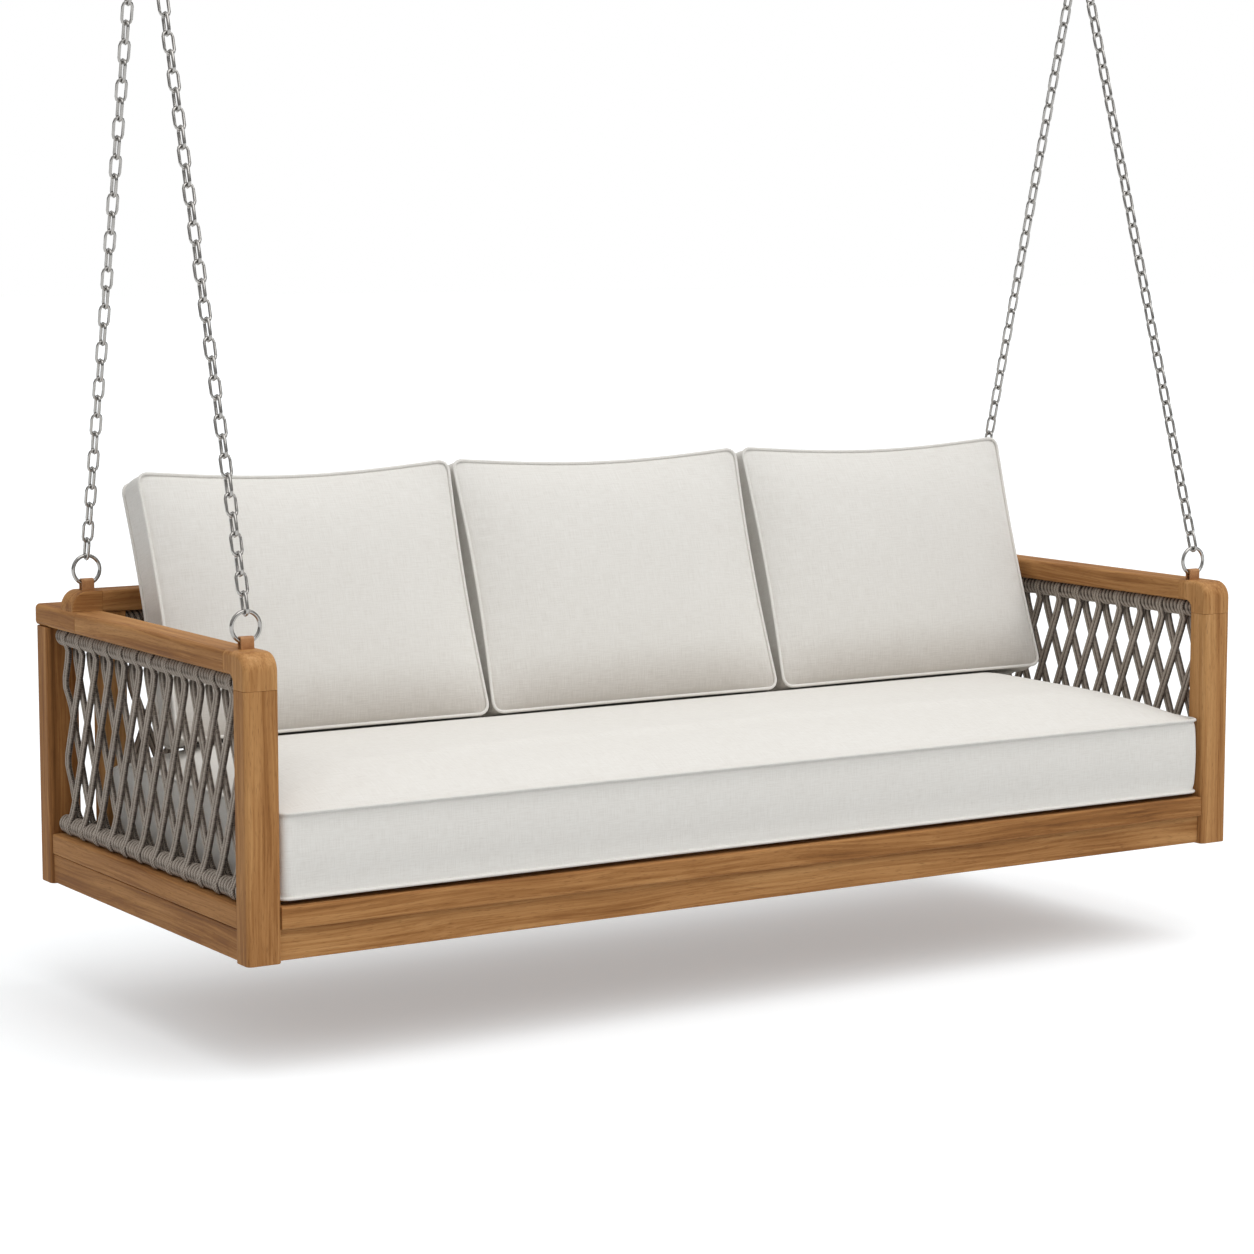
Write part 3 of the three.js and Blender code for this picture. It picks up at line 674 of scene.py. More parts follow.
# %% Back corners
HUMP_ROUND, HUMP_INSET, HUMP_EASE, HUMP_SUNK = 26 * MM, 4 * MM, 2 * MM, 12 * MM
for number, (side, sign) in enumerate((("left", -1), ("right", 1)), 50):
    low, high = spanned(f"{side}_back_corner")
    rail_low, rail_high = spanned("back_top_rail")
    arm_top = spanned(f"{side}_arm_rail")[1][2]
    inner, outer = sorted(abs(x) for x in (low[0], high[0]))
    foot = outer - HUMP_INSET
    outline = np.concatenate([
        [(inner - SPARE, arm_top - HUMP_SUNK), (foot, arm_top - HUMP_SUNK)],
        arc((foot - HUMP_ROUND, arm_top), (HUMP_ROUND, high[2] - arm_top), 0, 90, 12),
        [(inner - SPARE, high[2])],
    ])
    rows = block(outline, (0, 2), 1, rail_low[1], rail_high[1], HUMP_EASE, 3)
    rows[..., 0] = sign * np.maximum(rows[..., 0], inner)
    ground = board(low, np.array([high[0], high[1], arm_top]), "y", POST_RADIUS, number + 4)
    name, solids = f"{side}_back_corner", [ground, grained(rows, "x", number)]
    crisp(piece(f"{name}_timber", solids, teak, stands_for=[name], corner_angle=50))
print("back corners done")

# %% [markdown]
# ## Cord lacing
#
# This is the piece of handwork that the swing is known by. A flat cord of two ribs
# is wound tightly round a rod under the arm and another above the seat rail. Every
# third turn it leaves the rod, on the outer side for one slope and on the inner
# side for the other, and crosses to the far rod, so that the two sets of cords make
# long diamonds. A cord that meets a post turns back there. Each cord is its section
# carried along a path; the winding is a tube whose radius rises over each rib.

# %% Cord along a path
ROPE, CREASE = 4.2 * MM, 0.86


def cord_section(steps=4):
    """Two ropes side by side, their outlines joined by a soft crease: the height of a
    circle at each place across, with its foot raised on the inner side."""
    turn = np.linspace(0, np.pi, steps + 1)
    across = np.concatenate([1 + np.cos(turn[:-1]), np.cos(turn) - 1])
    inner = np.where(np.abs(across) < 1, CREASE, 1.0)
    height = np.sqrt(np.maximum(1 - inner * (np.abs(across) - 1) ** 2, 0))
    upper = stacked(across, height)
    return ROPE * np.concatenate([upper, -upper[1:-1]])


def cords_along(paths):
    """A closed cord along each (stations, 3) path, its width along x made square to the
    path. Its own map holds metres along the cord and across each rope."""
    section = cord_section()
    ahead = unit(np.gradient(paths, axis=1))
    wide = unit(np.array([1.0, 0.0, 0.0]) - ahead[..., :1] * ahead)
    solids = []
    for rows, run in zip(swept(paths, section, wide, np.cross(ahead, wide)), run_along(paths)):
        own = stacked(run[:, None], np.abs(section[:, 0]) - ROPE)
        solids.append((*tube(rows), {"strand": own.reshape(-1, 2)}))
    return solids


print("cord:", round(4 * ROPE / MM, 1), "mm wide")

# %% [markdown]
# The lacing is worked out flat, with x along the rods, y out of the panel and z up,
# and turned into place at the end. A cord's place along the rods is a straight line
# that is folded back at the posts, with the fold rounded so that the cord bends
# instead of breaking. Its distance from the panel's middle is the radius of the
# winding beside the rods and falls to half a cord's thickness between them.

# %% One lacing
WRAP_RADIUS, RIB, LACE_MARGIN, LACE_PITCH = 15.8 * MM, 10.2 * MM, 10 * MM, 61 * MM
WRAP_SINK, RIB_DEPTH, UNEVEN = 4.2 * MM, 3.8 * MM, 0.35 * MM
END_TAPER, END_LENGTH = 1.5 * MM, 2 * MM
BEDDED, FOLD_ROUND, LATTICE_INSET, FALL_LENGTH = 1.4 * MM, 5 * MM, 18 * MM, 11 * MM
OVER_ROD, PAST_ROD, ROD_STEPS, CLEAR_OF_ROD = 55, 8, 8, 2 * MM
ROWS = 4


def softly_folded(place, length):
    """A place reflected at both ends of the panel, with a rounded turn at each, and -1
    where it has turned back, else 1."""
    low, high = LACE_MARGIN, length - LACE_MARGIN
    near_low = place < (low + high) / 2
    gap = np.where(near_low, place - low, high - place)
    bend = np.hypot(gap, FOLD_ROUND)
    return np.where(near_low, low + bend, high - bend), np.where(gap < 0, -1.0, 1.0)


def laced(length, low_z, high_z, stations=36):
    """Crossing cords: over the upper rod, down through the rows, and under the lower."""
    pitches = round((length - 2 * LACE_MARGIN) / LACE_PITCH)
    half_pitch = (length - 2 * LACE_MARGIN) / (2 * pitches)
    start = LACE_MARGIN + half_pitch * (2 * np.arange(pitches) + 1)
    starts = np.concatenate([start, start])[:, None]
    ways = np.concatenate([np.ones(pitches), -np.ones(pitches)])[:, None]
    upper, lower = high_z - LATTICE_INSET, low_z + LATTICE_INSET
    hold = WRAP_RADIUS - BEDDED

    turn = np.radians(np.linspace(OVER_ROD, -PAST_ROD, ROD_STEPS))[None]
    free = np.linspace(0, 1, stations - 2 * ROD_STEPS)[None]
    drop = hold * math.sin(math.radians(PAST_ROD)) + CLEAR_OF_ROD
    z_free = high_z - drop + free * (low_z - high_z + 2 * drop)
    level = np.clip((upper - z_free) / (upper - lower), 0, 1)
    over, under = hold * np.sin(turn), hold * np.sin(turn[:, ::-1])
    z = np.concatenate([high_z + over, z_free, low_z - under], 1)
    rows_down = np.concatenate([0 * turn, level * ROWS, 0 * turn + ROWS], 1)
    place, sense = softly_folded(starts + ways * rows_down * half_pitch, length)
    near_rod = np.exp(-np.minimum(high_z - z_free, z_free - low_z) / FALL_LENGTH)
    depth_free = ROPE + (hold - ROPE) * np.clip(near_rod * 1.15, 0, 1)
    depth = np.concatenate([hold * np.cos(turn), depth_free, hold * np.cos(turn[:, ::-1])], 1)
    padded = np.pad(sense, ((0, 0), (1, 1)), "edge")
    sense = 0.25 * padded[:, :-2] + 0.5 * sense + 0.25 * padded[:, 2:]
    return cords_along(stacked(place, depth * ways * sense, z))


def winding(length, z, start=0.0, around=20, per_rib=8):
    """A tube about a rod. Its radius falls between ribs, and the ribs lean one cord
    width in a turn: each is a half ellipse over its place (x / rib - 2 t) mod 1, t the
    share of a turn."""
    ribs = round((length - start) / RIB)
    x = np.linspace(start, length, ribs * per_rib + 1)[:, None]
    share = np.arange(around)[None] / around
    rib_place = ((x / RIB - 2 * share) % 1 - 0.5) * RIB
    ridge = np.sqrt(np.maximum(1 - (rib_place / ROPE) ** 2, 0))
    uneven = UNEVEN * np.sin(x / RIB * 2.1) * np.sin(x / RIB * 0.83 + 1)
    from_end = np.minimum(x - start, length - x)
    ends = END_TAPER * np.clip(1 - from_end / END_LENGTH, 0, 1) ** 2
    radius = WRAP_RADIUS - RIB_DEPTH * (1 - ridge) + uneven - ends
    angle = share * 2 * np.pi
    points, faces = tube(stacked(x, radius * np.cos(angle), z + radius * np.sin(angle)))
    own = stacked(WRAP_RADIUS * angle, rib_place)
    return points, faces, {"strand": own.reshape(-1, 2)}


def lace(name, upper_rod, lower_rod, quarter, upper_start):
    """One panel's lacing, between the two rods' middles and the node's two ends. A quarter
    turn lays its length along Y."""
    low, high = spanned(name)
    axis = 1 if quarter else 0
    length = high[axis] - low[axis]
    z_high, z_low = (sum(spanned(rod))[2] / 2 for rod in (upper_rod, lower_rod))
    z_high, z_low = z_high - WRAP_SINK, z_low + WRAP_SINK
    place = (low + high) / 2 * (1, 1, 0)
    place[axis] = low[axis]
    flat = laced(length, z_low, z_high)
    flat += [winding(length, z_high, upper_start), winding(length, z_low)]
    solids = []
    for points, faces, attributes in flat:
        if quarter:
            points = np.stack([-points[:, 1], points[:, 0], points[:, 2]], -1)
        solids.append((points + place, faces, attributes))
    made = piece(f"{name}_cord", solids, cord, stands_for=[name], corner_angle=0)
    print(name, len(solids) - 2, "crossing cords,", len(made.data.polygons), "faces")


for side in ("left", "right"):
    name = f"{side}_arm_lacing"
    lace(name, f"{side}_upper_rod", f"{side}_lower_rod", True, ELBOW_INNER)
lace("back_lacing", "back_upper_rod", "back_lower_rod", False, 0.0)

# %% [markdown]
# ## Loops, rings and chains
#
# A leather loop is let into the timber at each hanging point and holds a round
# ring. From each ring a chain of plain welded links runs up to the ceiling hanger.
# A link is round wire carried round a long oval, and each link stands a quarter turn
# from its neighbours. There are about a hundred and fifty, so each one has few faces,
# and smooth shading does the rest.

# %% Loops and rings
def round_wire(radius, sides):
    """A circle of a few points."""
    return radius * circle(np.arange(sides) * 2 * np.pi / sides)


def wire_round(path, radius, sides, face):
    """Wire carried round a closed flat path, its section in the plane of the outward
    direction and the path's own axis."""
    ahead = unit(np.roll(path, -1, 0) - np.roll(path, 1, 0))
    face = np.array(face, float)
    return tube(swept(path, round_wire(radius, sides), np.cross(ahead, face), face), True)


LOOP_THICKNESS, LOOP_ROUND, LOOP_EASE = 3 * MM, 5 * MM, 0.8 * MM
RING_EXTRA, RING_STATIONS = 0.4 * MM, 56
for side in ("left", "right"):
    for where in ("front", "back"):
        name = f"{side}_{where}_loop"
        low, high = spanned(name)
        inner_low, inner_high = low[1] + LOOP_THICKNESS, high[1] - LOOP_THICKNESS
        crown = high[2] - LOOP_ROUND
        small = LOOP_ROUND - LOOP_THICKNESS + 0.5 * MM
        inner_crown = high[2] - LOOP_THICKNESS - small
        outline = np.concatenate([
            [(high[1], low[2])],
            arc((high[1] - LOOP_ROUND, crown), (LOOP_ROUND, LOOP_ROUND), 0, 90, 6),
            arc((low[1] + LOOP_ROUND, crown), (LOOP_ROUND, LOOP_ROUND), 90, 180, 6),
            [(low[1], low[2]), (inner_low, low[2])],
            arc((inner_low + small, inner_crown), (small, small), 180, 90, 4),
            arc((inner_high - small, inner_crown), (small, small), 90, 0, 4),
            [(inner_high, low[2])],
        ])
        solid = (*tube(block(outline, (1, 2), 0, low[0], high[0], LOOP_EASE, 3)), {})
        crisp(piece(f"{name}_leather", [solid], leather, stands_for=[name]))

        name = f"{side}_{where}_ring"
        low, high = spanned(name)
        middle, wire = (low + high) / 2, (high[1] - low[1]) / 2
        ring = round_wire((high[2] - low[2]) / 2 - wire, RING_STATIONS)
        path = middle + stacked(ring[:, 0], 0, ring[:, 1])
        solid = (*wire_round(path, wire + RING_EXTRA, 12, (0, 1, 0)), {})
        piece(f"{name}_steel", [solid], chain_steel, stands_for=[name], corner_angle=0)
print("four loops and four rings")

# %% Chains
LINK_PITCH, LINK_WIDTH, LINK_WIRE, CLEAR = 31.5 * MM, 22 * MM, 5.4 * MM, 0.3 * MM
RING_WIRE, HANGER_BAR, LINK_SPREAD = 3 * MM, 4 * MM, 6 * MM


def link_path(inner_length, bend=5):
    """A long oval in XY: two half circles joined by straights, along Y."""
    radius = (LINK_WIDTH - LINK_WIRE) / 2
    straight = (inner_length + LINK_WIRE) / 2 - radius
    turn = np.linspace(0, np.pi, bend + 1)
    upper = stacked(radius * np.cos(turn), straight + radius * np.sin(turn), 0)
    return np.concatenate([upper, -upper])


def chain(name, low, high):
    """Links of one pitch between two bars, the bars' halves and clearances included."""
    ahead = high - low
    reach = np.linalg.norm(ahead) + RING_WIRE + HANGER_BAR + 2 * CLEAR
    ahead = unit(ahead)
    start = low - ahead * (RING_WIRE + CLEAR)
    count = 2 * round((reach / LINK_PITCH - 1) / 2) + 1
    pitch = reach / count
    sideways = unit(np.array([1.0, 0, 0]) - ahead[0] * ahead)
    forward = np.cross(sideways, ahead)
    points, faces = wire_round(link_path(pitch), LINK_WIRE / 2, 6, (0, 0, 1))
    solids = []
    for i in range(count):
        wide, normal = (sideways, forward) if i % 2 else (forward, -sideways)
        placed = points @ np.stack([wide, ahead, normal]) + start + (i + 0.5) * pitch * ahead
        solids.append((placed, faces, {}))
    piece(f"{name}_links", solids, chain_steel, stands_for=[name], corner_angle=0)
    return count


for side, sign in (("left", -1), ("right", 1)):
    low, high = spanned(f"{side}_hanger")
    hanger_bar = (low + high) / 2
    hanger_bar[2] = low[2] + HANGER_BAR
    for where, hook in (("front", -1), ("back", 1)):
        low, high = spanned(f"{side}_{where}_ring")
        ring_top = (low + high) / 2
        ring_top[2] = high[2] - RING_WIRE
        top = hanger_bar + np.array([sign * hook * LINK_SPREAD, 0, 0])
        print(f"{side}_{where}_chain", chain(f"{side}_{where}_chain", ring_top, top), "links")

# %% [markdown]
# ## Ceiling fittings
#
# Above each end a barrel turns on a bolt between the two ears of a plate, and an
# oval eye under the barrel takes both chains. The eye and barrel are turned shapes,
# so they are made again from a path and a profile. The plate and bolt are already
# right but for their sharp edges: a copy of each gets a narrow bevel.

# %% Hangers, plates and bolts
def turned_tube(profile, low_x, axis_y, axis_z, around=32):
    """A closed profile of (x, radius) points turned about a line along X."""
    x, radius, turn = profile[:, :1], profile[:, 1:], round_wire(1, around)
    rows = stacked(low_x + x, axis_y + radius * turn[:, 0], axis_z + radius * turn[:, 1])
    return tube(rows, True)


def softened(node, width, rides):
    """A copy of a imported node, its loose triangles joined and its edges bevelled."""
    made = added(f"{node}_steel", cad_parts[node].data.copy())
    shape = bmesh.new()
    shape.from_mesh(made.data)
    bmesh.ops.remove_doubles(shape, verts=shape.verts, dist=0.01 * MM)
    bmesh.ops.dissolve_limit(shape, angle_limit=0.01, verts=shape.verts, edges=shape.edges)
    shape.to_mesh(made.data)
    shape.free()
    made.data.materials.clear()
    made.data.materials.append(fitting_steel)
    made.data.shade_smooth()
    bevel = made.modifiers.new("soft edges", "BEVEL")
    bevel.width, bevel.segments, bevel.angle_limit = width, 2, math.radians(50)
    crisp(made)
    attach(made, rides)
    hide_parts(node)


EYE_CORNER, EYE_X, EYE_Z = 11 * MM, 6 * MM, 7 * MM
BARREL, BORE, BARREL_EASE = 9 * MM, 5.3 * MM, 0.9 * MM
for side in ("left", "right"):
    low, high = spanned(f"{side}_hanger")
    middle = (low + high) / 2
    bolt_low, bolt_high = spanned(f"{side}_pivot_bolt")
    axis_z = (bolt_low[2] + bolt_high[2]) / 2
    centre = np.array([middle[0], middle[1], low[2] + HANGER_BAR + EYE_CORNER + EYE_Z])
    corners = [arc((x * EYE_X, z * EYE_Z), (EYE_CORNER, EYE_CORNER), start, start + 90, 6)
               for x, z, start in ((1, 1, 0), (-1, 1, 90), (-1, -1, 180), (1, -1, 270))]
    flat = np.concatenate(corners)
    path = centre + stacked(flat[:, 0], 0, flat[:, 1])
    span, shoulder = high[0] - low[0], BARREL - BARREL_EASE
    profile = np.array([(0, BORE), (0, shoulder), (BARREL_EASE, BARREL),
                        (span - BARREL_EASE, BARREL), (span, shoulder), (span, BORE)])
    solids = [(*wire_round(path, HANGER_BAR, 12, (0, 1, 0)), {}),
              (*turned_tube(profile, low[0], middle[1], axis_z), {})]
    name = f"{side}_hanger"
    crisp(piece(f"{name}_steel", solids, fitting_steel, stands_for=[name]))
    softened(f"{side}_ceiling_plate", 0.8 * MM, CEILING)
    softened(f"{side}_pivot_bolt", 0.5 * MM, CEILING)
for name in (f"{where}_{level}_rod" for where in ("left", "right", "back")
             for level in ("upper", "lower")):
    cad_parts[name].data.materials.clear()
    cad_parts[name].data.materials.append(fitting_steel)
print("hangers, plates and bolts done")

# %% [markdown]
# ## Box cushions
#
# A box cushion is two panels joined by a strip, the gusset, with piping in both
# seams. Filling it makes the panels crown, while the seams, which the piping
# stiffens, pull in between the corners. So the seams are drawn first: a rectangle
# with rounded corners whose sides dip towards the middle. The panels and the gusset
# hang between them on one grid. Then a cloth simulation blows the cover up a little
# with the seams held, which finds the soft bulges and puckers of a filled cover.

# %% The seam and the cover
def around_square(count_u, count_v):
    """Grid numbers of a square grid's border, once round."""
    grid = np.arange(count_u * count_v).reshape(count_v, count_u)
    return np.concatenate([grid[0, :-1], grid[:-1, -1], grid[-1, :0:-1], grid[:0:-1, 0]])


def seam_plan(u, v, half_width, half_height, corner, dips):
    """Places in the plane of a seam, for shares u and v of its half sizes: a rectangle
    whose corners are drawn in to a quarter round, and whose sides dip by a cosine."""
    reach = np.maximum(np.abs(u), np.abs(v))
    safe = np.maximum(reach, 1e-9)
    x, y = u / safe * half_width, v / safe * half_height
    from_corner = np.minimum(half_width - np.abs(x) + half_height - np.abs(y), corner)
    angle = (1 - from_corner / corner) * np.pi / 4
    on_side = np.abs(x) >= half_width - 1e-9
    round_in = corner * (1 - np.cos(angle))
    round_along = corner * np.sin(angle) - (corner - from_corner)
    in_corner = from_corner < corner
    shift_x = np.where(on_side, -round_in, round_along) * in_corner
    shift_y = np.where(on_side, round_along, -round_in) * in_corner
    local = reach ** 4
    x = u * half_width + np.sign(x) * shift_x * local
    y = v * half_height + np.sign(y) * shift_y * local
    left_right, top, bottom = dips
    along_x, along_y = np.cos(np.clip(u, -1, 1) * np.pi / 2), np.cos(np.clip(v, -1, 1) * np.pi / 2)
    x = x - left_right * u ** 3 * along_y
    y = y - np.where(v > 0, top, bottom) * v ** 3 * along_x
    return x, y


def cover(half_width, half_height, half_gusset, crowns, corner, dips, spacing, swell, fall):
    """Front panel, back panel and gusset rows as one closed grid, with seam numbers.
    A panel stands up by its crown times (1 - |u|^a)(1 - |v|^b), with a and b its fall."""
    count_u = 2 * round(half_width / spacing) + 1
    count_v = 2 * round(half_height / spacing) + 1
    rows = max(3, round(2 * half_gusset / spacing))
    v, u = np.meshgrid(np.linspace(-1, 1, count_v), np.linspace(-1, 1, count_u), indexing="ij")
    x, y = (side.ravel() for side in seam_plan(u, v, half_width, half_height, corner, dips))
    rise = ((1 - np.abs(u) ** fall[0]) * (1 - np.abs(v) ** fall[1])).ravel()
    front = np.stack([x, y, half_gusset + crowns[0] * rise], -1)
    back = np.stack([x, y, -half_gusset - crowns[1] * rise], -1)
    border = around_square(count_u, count_v)
    seam = front[border]
    level = np.linspace(1, -1, rows + 1)[1:-1][:, None]
    out = seam[:, :2] / np.abs(seam[:, :2]).max(0)
    out = np.sign(out) * np.abs(out) ** 6
    side, top, bottom = swell
    bow = np.cos(level * np.pi / 2)
    amount = np.where(out[None, :, 1] < 0, bottom, top)
    strip = stacked(seam[None, :, 0] + side * bow * out[None, :, 0],
                    seam[None, :, 1] + amount * bow * out[None, :, 1], level * half_gusset)
    points = np.concatenate([front, back, strip.reshape(-1, 3)])
    panel = grid_faces(count_v, count_u)
    first_back, first_strip = len(front), len(front) + len(back)
    ring = len(border)
    lines = [border, *(first_strip + ring * row + np.arange(ring) for row in range(rows - 1)),
             border + first_back]
    strips = [np.stack([near, np.roll(near, -1), np.roll(far, -1), far], -1)
              for near, far in zip(lines, lines[1:])]
    faces = np.concatenate([panel, panel[:, ::-1] + first_back, *strips])
    return points, faces, (border, border + first_back)


def cloth_map(mesh):
    """Metres along and across the cloth, from the axis that each face looks along."""
    loops = gathered(mesh.loops, "vertex_index", kind=np.int32)
    places = gathered(mesh.vertices, "co", 3)[loops]
    totals = gathered(mesh.polygons, "loop_total", kind=np.int32)
    facing = np.repeat(np.abs(gathered(mesh.polygons, "normal", 3)).argmax(1), totals)
    across = np.where(facing == 0, places[:, 1], places[:, 0])
    along = np.where(facing == 2, places[:, 1], places[:, 2])
    layer = mesh.uv_layers.new(name="cloth")
    layer.data.foreach_set("uv", stacked(across, along).astype(np.float32).ravel())


print("cover ready")

# %% Filling a cover
def filled(points, faces, seams, pressure, cap, frames=16):
    """The cover's points after the cloth is blown up with its seams held, each moved by
    at most the cap."""
    scene = bpy.context.scene
    soft = added("cover", meshed("cover", points, faces))
    held = soft.vertex_groups.new(name="seams")
    held.add(np.concatenate(seams).tolist(), 1.0, "REPLACE")
    cloth = soft.modifiers.new("filling", "CLOTH")
    settings = cloth.settings
    settings.quality = 5
    settings.mass = 0.4
    settings.tension_stiffness = settings.compression_stiffness = 18
    settings.shear_stiffness = 8
    settings.bending_stiffness = 2.5
    settings.use_pressure = True
    settings.uniform_pressure_force = pressure
    settings.vertex_group_mass = "seams"
    settings.effector_weights.gravity = 0
    cloth.point_cache.frame_start, cloth.point_cache.frame_end = 1, frames
    for number in range(1, frames + 1):
        scene.frame_set(number)
    blown = soft.evaluated_get(bpy.context.evaluated_depsgraph_get()).data
    moved = gathered(blown.vertices, "co", 3) - points
    distance = np.linalg.norm(moved, axis=1)[:, None]
    moved *= np.minimum(1, cap / np.maximum(distance, 1e-9))
    print("  cloth moved", round(float(distance.max()) / MM, 1), "mm at most")
    bpy.data.objects.remove(soft)
    scene.frame_set(1)
    return points + moved


PIPING, PIPING_SIDES, UNDER_PIPING = 2.9 * MM, 8, 1.6 * MM
# Painted shade begins this share of the half height below a cushion's middle, along its height.
PAINTED_SHADE_FROM = 0.55


def piping(seam):
    """Round piping carried round a closed seam."""
    ahead = unit(np.roll(seam, -1, 0) - np.roll(seam, 1, 0))
    up = unit(np.cross(ahead[0], ahead[len(ahead) // 4]))
    rows = swept(seam, round_wire(PIPING, PIPING_SIDES), np.cross(ahead, up), up)
    own = stacked(run_along(seam)[:, None], np.arange(PIPING_SIDES) * 2 * MM)
    return (*tube(rows, True), {"cloth": own.reshape(-1, 2)})


def cushion(name, points, faces, seams, place, turn, painted_shade=0.0):
    """The cover is drawn in a little under its piping, and given painted shade towards its foot.
    """
    placed = points @ turn.T + place
    cords = [piping(placed[seam]) for seam in seams]
    drawn = points.copy()
    for seam in seams:
        drawn[seam] -= UNDER_PIPING * np.sign(points[seam])
    placed = drawn @ turn.T + place
    mesh = meshed(f"{name}_linen", points, faces)
    cloth_map(mesh)
    mesh.vertices.foreach_set("co", placed.astype(np.float32).ravel())
    # Painted shade: darker linen over the lowest part of the cover's height, where shade falls
    # near the seat, by the strength given.
    below = -PAINTED_SHADE_FROM - points[:, 1] / points[:, 1].max()
    low_part = np.clip(below, 0, 1) / (1 - PAINTED_SHADE_FROM)
    handled = mesh.attributes.new("handled", "FLOAT", "POINT")
    handled.data.foreach_set("value", (painted_shade * low_part ** 1.3).astype(np.float32))
    mesh.materials.append(linen)
    mesh.shade_smooth()
    made = added(f"{name}_linen", mesh)
    smooth = made.modifiers.new("smooth", "SUBSURF")
    smooth.levels = smooth.render_levels = 1
    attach(made, SWING)
    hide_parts(name)
    piece(f"{name}_piping", cords, linen, corner_angle=0)


print("filling and piping ready")

# %% [markdown]
# The bench cushion fills the seat from arm to arm and lies flat on the slats, so
# only its upper panel crowns. The three back cushions are nearly one size; they stand on
# the bench cushion, lean back towards the top rail and crown on both faces. Their
# upper edges dip most, because nothing presses them straight. Each is filled
# on its own, with its own small differences in width, in place and in how far the
# sides dip.

# %% The bench cushion
LEAN, PULL = math.radians(18.6), 0.985
SEAT_SEAM, LOWER_CROWN, LOWER_EDGE = 143 * MM, 10 * MM, 0.55
PRESS_FROM = 35 * MM
low, high = spanned("seat_cushion")
crown = high[2] - low[2] - SEAT_SEAM
half = (high - low) / 2
half_gusset = (SEAT_SEAM - LOWER_CROWN) / 2
middle = (low + high) / 2
middle[2] = low[2] + LOWER_CROWN + half_gusset
points, faces, seams = cover(
    half[0] - 0.4 * MM, half[1] * PULL - 0.5 * MM, half_gusset, (crown - 2 * MM, LOWER_CROWN),
    corner=18 * MM, dips=(0.0, 3 * MM, 2 * MM), spacing=11 * MM,
    swell=(0.5 * MM, 2 * MM, 6 * MM), fall=(16, 5))
flat = -half_gusset - LOWER_CROWN
under = points[:, 2] < -half_gusset - 0.1 * MM
above_flat = 1 + (points[under, 2] + half_gusset) / (LOWER_EDGE * LOWER_CROWN)
points[under, 2] = flat + LOWER_CROWN * np.clip(above_flat, 0, 1) ** 2
faces = closed_grid(points, faces)
points = filled(points, faces, seams, 3.0, 5 * MM)
points[:, 2] = np.maximum(points[:, 2], flat)
behind = np.maximum(points[:, 1] + middle[1] - PRESS_FROM, 0)
points[:, 2] = np.minimum(points[:, 2], high[2] - middle[2] - behind * math.tan(LEAN))
cushion("seat_cushion", points, faces, seams, middle, np.eye(3))
print("bench cushion:", len(points), "points")

# %% The back cushions
BACK_GUSSET, FRONT_CROWN, REAR_CROWN = 68 * MM, 42 * MM, 56 * MM
FRONT_SINK, RAISED = 28 * MM, 1.5 * MM
CREASE_DEPTH, CREASE_REACH, CREASE_START, CREASE_RISE = 1.5 * MM, 40 * MM, 10 * MM, 16 * MM
BACKS = np.array([(7, 17, 1.5, 7.5), (8, 16, 6, -1.5), (7, 16, 7, 1)]) * MM
tilt = np.array([[1, 0, 0],
                 [0, math.sin(LEAN), -math.cos(LEAN)],
                 [0, math.cos(LEAN), math.sin(LEAN)]])


def puckered(points, panel, number):
    """Short creases that run in from the side seams of the front panel and fade: depth *
    e^(-d / reach) * sin(230 y + 1.5 sin 61 y), y in metres and d the way in from a side."""
    inward = points[:, 0].max() - np.abs(points[:, 0])
    near = np.clip((inward - CREASE_START) / CREASE_RISE, 0, 1) * np.exp(-inward / CREASE_REACH)
    along = points[:, 1] + 0.31 * number
    wave = np.sin(230 * along + 1.5 * np.sin(61 * along)) * (0.6 + 0.4 * np.sin(37 * along))
    creased = points.copy()
    creased[:, 2] += CREASE_DEPTH * near * wave * (points[:, 2] > panel)
    return creased


for number, (side_dip, top_dip, wider, aside) in enumerate(BACKS.tolist(), 1):
    name = f"back_cushion_{number}"
    own = gathered(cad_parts[name].data.vertices, "co", 3) @ tilt
    low, high = own.min(0), own.max(0)
    middle = (low + high) / 2 + (aside, RAISED, 0)
    middle[2] = high[2] - FRONT_SINK - BACK_GUSSET / 2
    points, faces, seams = cover(
        (high[0] - low[0]) / 2 + wider, (high[1] - low[1]) / 2 * PULL - 1 * MM, BACK_GUSSET / 2,
        (FRONT_CROWN, REAR_CROWN), corner=20 * MM, dips=(side_dip, top_dip, 1 * MM),
        spacing=8 * MM, swell=(2 * MM, 3 * MM, 6 * MM), fall=(4.2, 2.9))
    faces = closed_grid(points, faces)
    points = filled(points, faces, seams, 3.2, 8 * MM)
    points = puckered(points, BACK_GUSSET / 2 + 1 * MM, number)
    # The back cushions get painted shade towards their foot.
    cushion(name, points, faces, seams, tilt @ middle, tilt, 0.55)
    print(name, len(points), "points")

# %% [markdown]
# ## Floor and light
#
# The swing hangs over a plain white floor in an even, soft light: a white room that
# is brightest overhead, and one very soft sun from above, in front and a little to
# the right. A sun lights the floor evenly to its edges, so there is no horizon. The
# floor answers the camera with a touch more than it receives, which lets it run into
# the white of the room, and it keeps the swing's soft shadow.

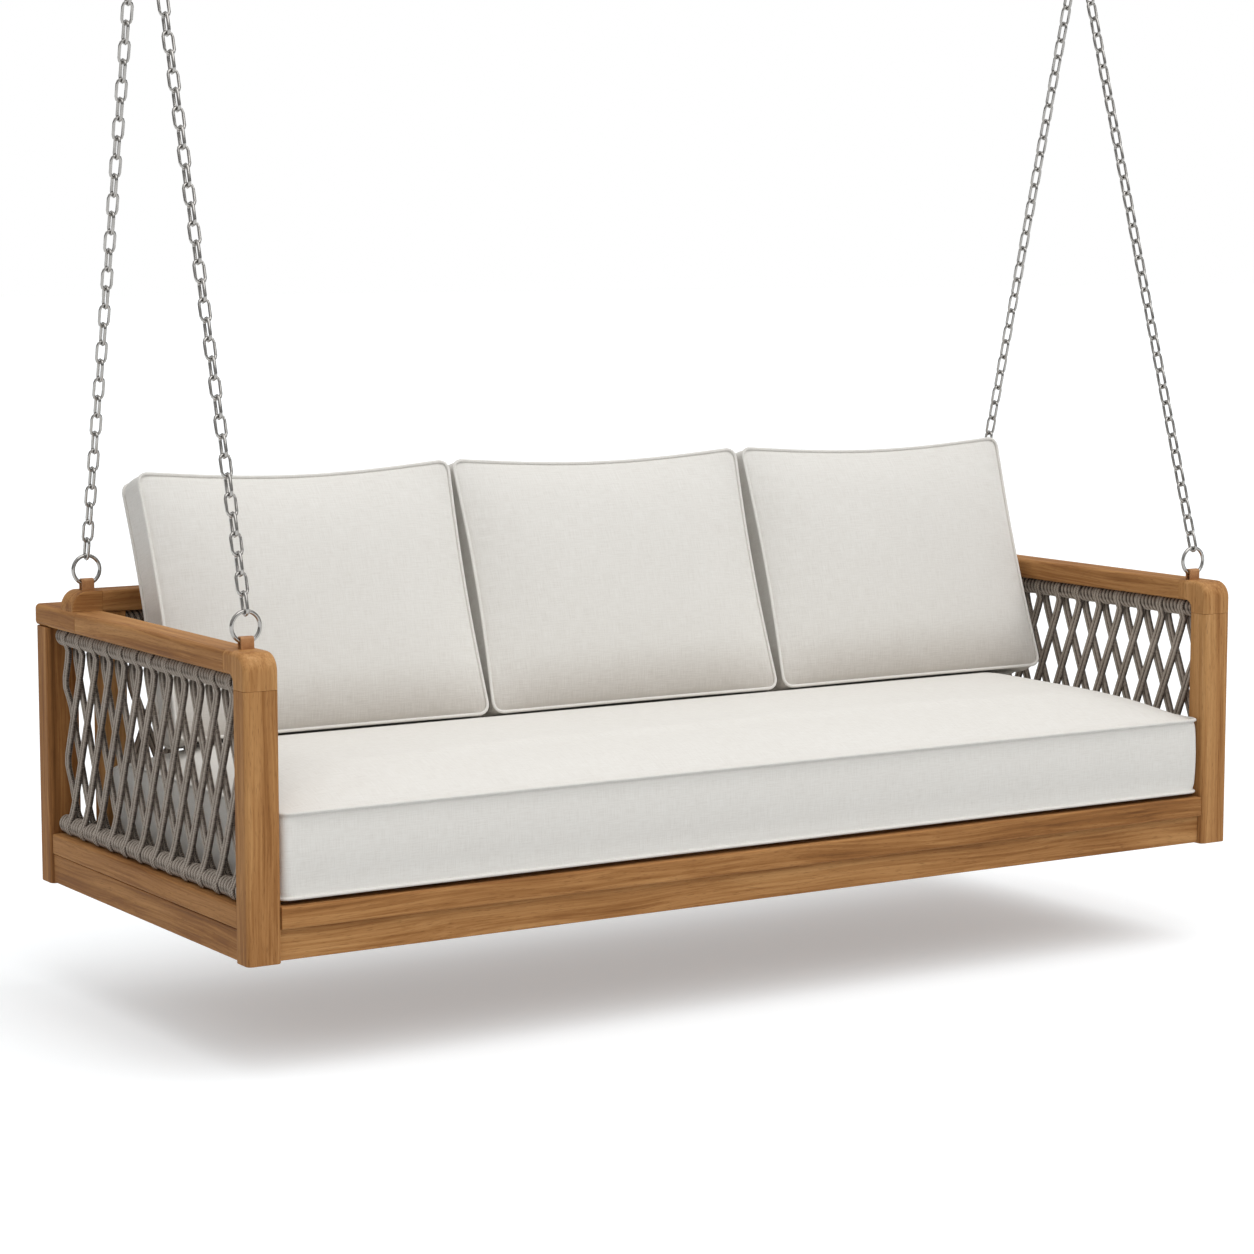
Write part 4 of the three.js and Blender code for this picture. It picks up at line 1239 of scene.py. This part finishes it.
# %% The floor and the room
def floor_finish(glow):
    """White floor; what the camera sees of it is lifted a little towards white."""
    floor = Finish("white_floor")
    sees = floor.node("ShaderNodeLightPath", (), (), "Is Camera Ray")
    seen = sees.maths("MAXIMUM", sees, sees.beside("Is Glossy Ray"))
    ground = floor.node("ShaderNodeBsdfDiffuse", (), {"Color": paint(226, 229, 231)})
    lift = floor.node("ShaderNodeEmission", (), {"Color": (1, 1, 1, 1), "Strength": seen * glow})
    both = floor.node("ShaderNodeAddShader", (), {0: ground, 1: lift})
    floor.node("ShaderNodeOutputMaterial", (), {"Surface": both})
    return floor.data


def room_light(low, high):
    """A white world: full white to the camera, and for the light that falls on things a
    strength that rises with the direction's z, from level with the swing upwards."""
    room = Finish("room", "worlds")
    sees = room.node("ShaderNodeLightPath", (), (), "Is Camera Ray")
    direction = room.node("ShaderNodeTexCoord", (), (), "Generated")
    up = room.node("ShaderNodeSeparateXYZ", (), {0: direction}, "Z")
    light = room.node("ShaderNodeMapRange", (), {0: up, 1: 0.0, 2: 0.8, 3: low, 4: high})
    strength = room.node("ShaderNodeMix", {"data_type": "FLOAT"}, {0: sees, 2: light, 3: 1.0})
    sockets = {"Color": (1, 1, 1, 1), "Strength": strength}
    background = room.node("ShaderNodeBackground", (), sockets)
    room.node("ShaderNodeOutputWorld", (), {"Surface": background})
    return room.data


FLOOR_DROP, FLOOR_GLOW, ROOM_LOW, ROOM_HIGH, FLOOR_REACH = 0.185, 0.35, 0.15, 0.8, 60
floor_z = cad_box[0][2] - FLOOR_DROP
side = np.linspace(-FLOOR_REACH, FLOOR_REACH, 3)
sheet = stacked(side[:, None], side, floor_z).reshape(-1, 3)
mesh = meshed("floor", sheet, grid_faces(3, 3)[:, ::-1].tolist())
mesh.materials.append(floor_finish(FLOOR_GLOW))
floor = added("floor", mesh)
bpy.context.scene.world = room_light(ROOM_LOW, ROOM_HIGH)
print("floor at", round(floor_z, 3), "m")

# %% The sun
sun = added("soft sun", bpy.data.lights.new("soft sun", "SUN"))
sun.data.energy = 1.5
sun.data.angle = math.radians(62)
sun.rotation_euler = (math.radians(27), math.radians(12), 0)
bpy.context.scene.view_settings.view_transform = "Standard"
print("one soft sun")
